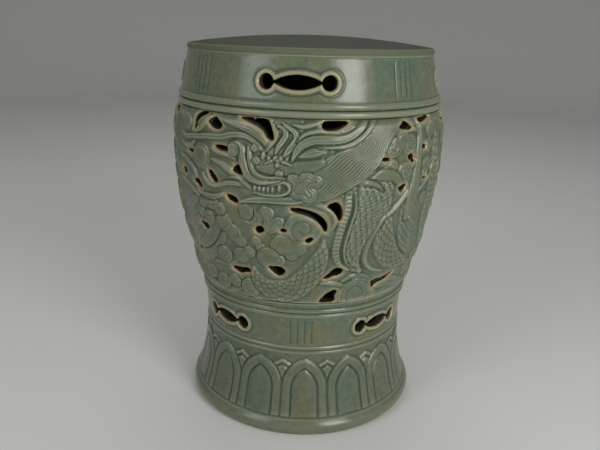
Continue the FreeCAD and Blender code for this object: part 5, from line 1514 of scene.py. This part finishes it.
def add_camera():
    sp, cp = math.sin(CAMERA_DIP), math.cos(CAMERA_DIP)
    sy, cy = math.sin(CAMERA_YAW), math.cos(CAMERA_YAW)
    sr, cr = math.sin(CAMERA_ROLL), math.cos(CAMERA_ROLL)
    flat, tall = Vector((cy, -sy, 0)), Vector((sp * sy, sp * cy, cp))
    right = cr * flat + sr * tall
    up = cr * tall - sr * flat
    ahead = Vector((cp * sy, cp * cy, -sp))
    turn = Matrix.Rotation(CAMERA_TURN, 4, "Z")
    pose = Matrix.Identity(4)
    for column, axis in enumerate((right, up, -ahead)):
        for row in range(3):
            pose[row][column] = axis[row]
    pose.translation = Vector((0, -CAMERA_BACK, CAMERA_HEIGHT))
    data = bpy.data.cameras.new("stool_camera")
    data.lens = CAMERA_LENS
    data.sensor_width = 36.0
    data.clip_start = 0.01
    camera = bpy.data.objects.new("stool_camera", data)
    bpy.context.collection.objects.link(camera)
    camera.matrix_world = turn @ pose
    bpy.context.scene.camera = camera


# Lamps: azimuth from the camera's side in degrees, distance, height and size in metres, power in watts
SOFTBOXES = {
    "softbox_left": (-46, 1.5, 0.95, (0.6, 1.1), 6),
    "softbox_right": (34, 1.5, 0.7, (0.6, 1.1), 15),
    "softbox_top": (180, 1.1, 1.9, (1.2, 1.2), 6),
}
LAMP_TARGET = Vector((0, 0, 0.24))
AIR_COLOUR = (0.55, 0.56, 0.57, 1)
AIR_STRENGTH = 0.5

# Studio floor in mm: it runs out flat and curves up into a low round wall
STUDIO_RADII = (0.0, 400.0, 1500.0)
WALL_RADIUS, WALL_TOP = 4200.0, 1500.0
COVE_RADIUS, COVE_STEPS = 700.0, 8
STUDIO_COLUMNS = 96


def add_softbox(name, azimuth, distance, height, size, energy):
    """Area lamp that faces the stool's middle."""
    data = bpy.data.lights.new(name, "AREA")
    data.shape = "RECTANGLE"
    data.size, data.size_y = size
    data.energy = energy
    lamp = bpy.data.objects.new(name, data)
    bpy.context.collection.objects.link(lamp)
    turn = CAMERA_TURN + math.radians(azimuth)
    spot = Vector((distance * math.sin(turn), -distance * math.cos(turn), height))
    lamp.location = spot
    lamp.rotation_euler = (LAMP_TARGET - spot).to_track_quat("-Z", "Y").to_euler()


def add_floor():
    """Round floor with its low wall, in matt emulsion paint that gives nothing back but soft light."""
    outline = [(radius, 0.0) for radius in (*STUDIO_RADII, WALL_RADIUS - COVE_RADIUS)]
    for step in range(1, COVE_STEPS + 1):
        turn = math.pi / 2 * step / COVE_STEPS
        outline.append((WALL_RADIUS - COVE_RADIUS + COVE_RADIUS * math.sin(turn),
                        COVE_RADIUS - COVE_RADIUS * math.cos(turn)))
    outline.append((WALL_RADIUS, WALL_TOP))
    angle = 360 * np.arange(STUDIO_COLUMNS) / STUDIO_COLUMNS
    points = np.concatenate([place(angle, np.full(STUDIO_COLUMNS, r), np.full(STUDIO_COLUMNS, z))
                             for r, z in outline])
    grid = np.arange(len(points)).reshape(len(outline), STUDIO_COLUMNS)
    after = np.roll(grid, -1, axis=1)
    faces = [np.stack([grid[0][:1].repeat(STUDIO_COLUMNS), grid[1], after[1]], axis=-1)]
    faces += [np.stack([grid[row], grid[row + 1], after[row + 1], after[row]], axis=-1)
              for row in range(1, len(outline) - 1)]
    paint = new_material("painted_studio_floor")
    tree = paint.node_tree
    shader = add_node(tree, "ShaderNodeBsdfPrincipled", (), {
        "Base Color": rgba(colours().floor), "Roughness": 0.9, "Specular IOR Level": 0.1})
    add_node(tree, "ShaderNodeOutputMaterial", (), {"Surface": shader.outputs[0]})
    mesh_object("studio_floor", points, faces, {}, paint)


class STOOL_OT_stage(bpy.types.Operator):
    """Pale studio floor that curves up into a low wall, with soft lamps and the camera"""
    bl_idname = "stool.stage"
    bl_label = "Stage"

    def execute(self, context):
        add_floor()
        for name, values in SOFTBOXES.items():
            add_softbox(name, *values)
        add_camera()
        world = bpy.data.worlds.new("studio_air")
        world.use_nodes = True
        air = world.node_tree.nodes["Background"]
        air.inputs["Color"].default_value = AIR_COLOUR
        air.inputs["Strength"].default_value = AIR_STRENGTH
        context.scene.world = world
        context.scene.view_settings.view_transform = "Standard"
        return {"FINISHED"}


OPERATORS = (STOOL_OT_seat, STOOL_OT_cordons, STOOL_OT_bands, STOOL_OT_belly_wall, STOOL_OT_dragons,
             STOOL_OT_pearls, STOOL_OT_clouds, STOOL_OT_petals, STOOL_OT_stage)


class STOOL_PT_panel(bpy.types.Panel):
    """Lists the pieces of the stool"""
    bl_idname = "STOOL_PT_panel"
    bl_label = "Garden Stool"
    bl_space_type = "VIEW_3D"
    bl_region_type = "UI"
    bl_category = "Garden Stool"

    def draw(self, context):
        layout = self.layout
        for group in (sizes(), colours()):
            for key in group.bl_rna.properties.keys():
                if key not in {"rna_type", "name"}:
                    layout.prop(group, key)
        for operator in OPERATORS:
            layout.operator(operator.bl_idname)


CLASSES = (StoolSizes, StoolColours, *OPERATORS, STOOL_PT_panel)


def register():
    for kind in CLASSES:
        bpy.utils.register_class(kind)
    bpy.types.Scene.stool_sizes = PointerProperty(type=StoolSizes)
    bpy.types.Scene.stool_colours = PointerProperty(type=StoolColours)


def unregister():
    del bpy.types.Scene.stool_colours
    del bpy.types.Scene.stool_sizes
    for kind in reversed(CLASSES):
        bpy.utils.unregister_class(kind)


def main():
    register()
    for operator in OPERATORS:
        group, name = operator.bl_idname.split(".")
        getattr(getattr(bpy.ops, group), name)()


if __name__ == "__main__":
    main()
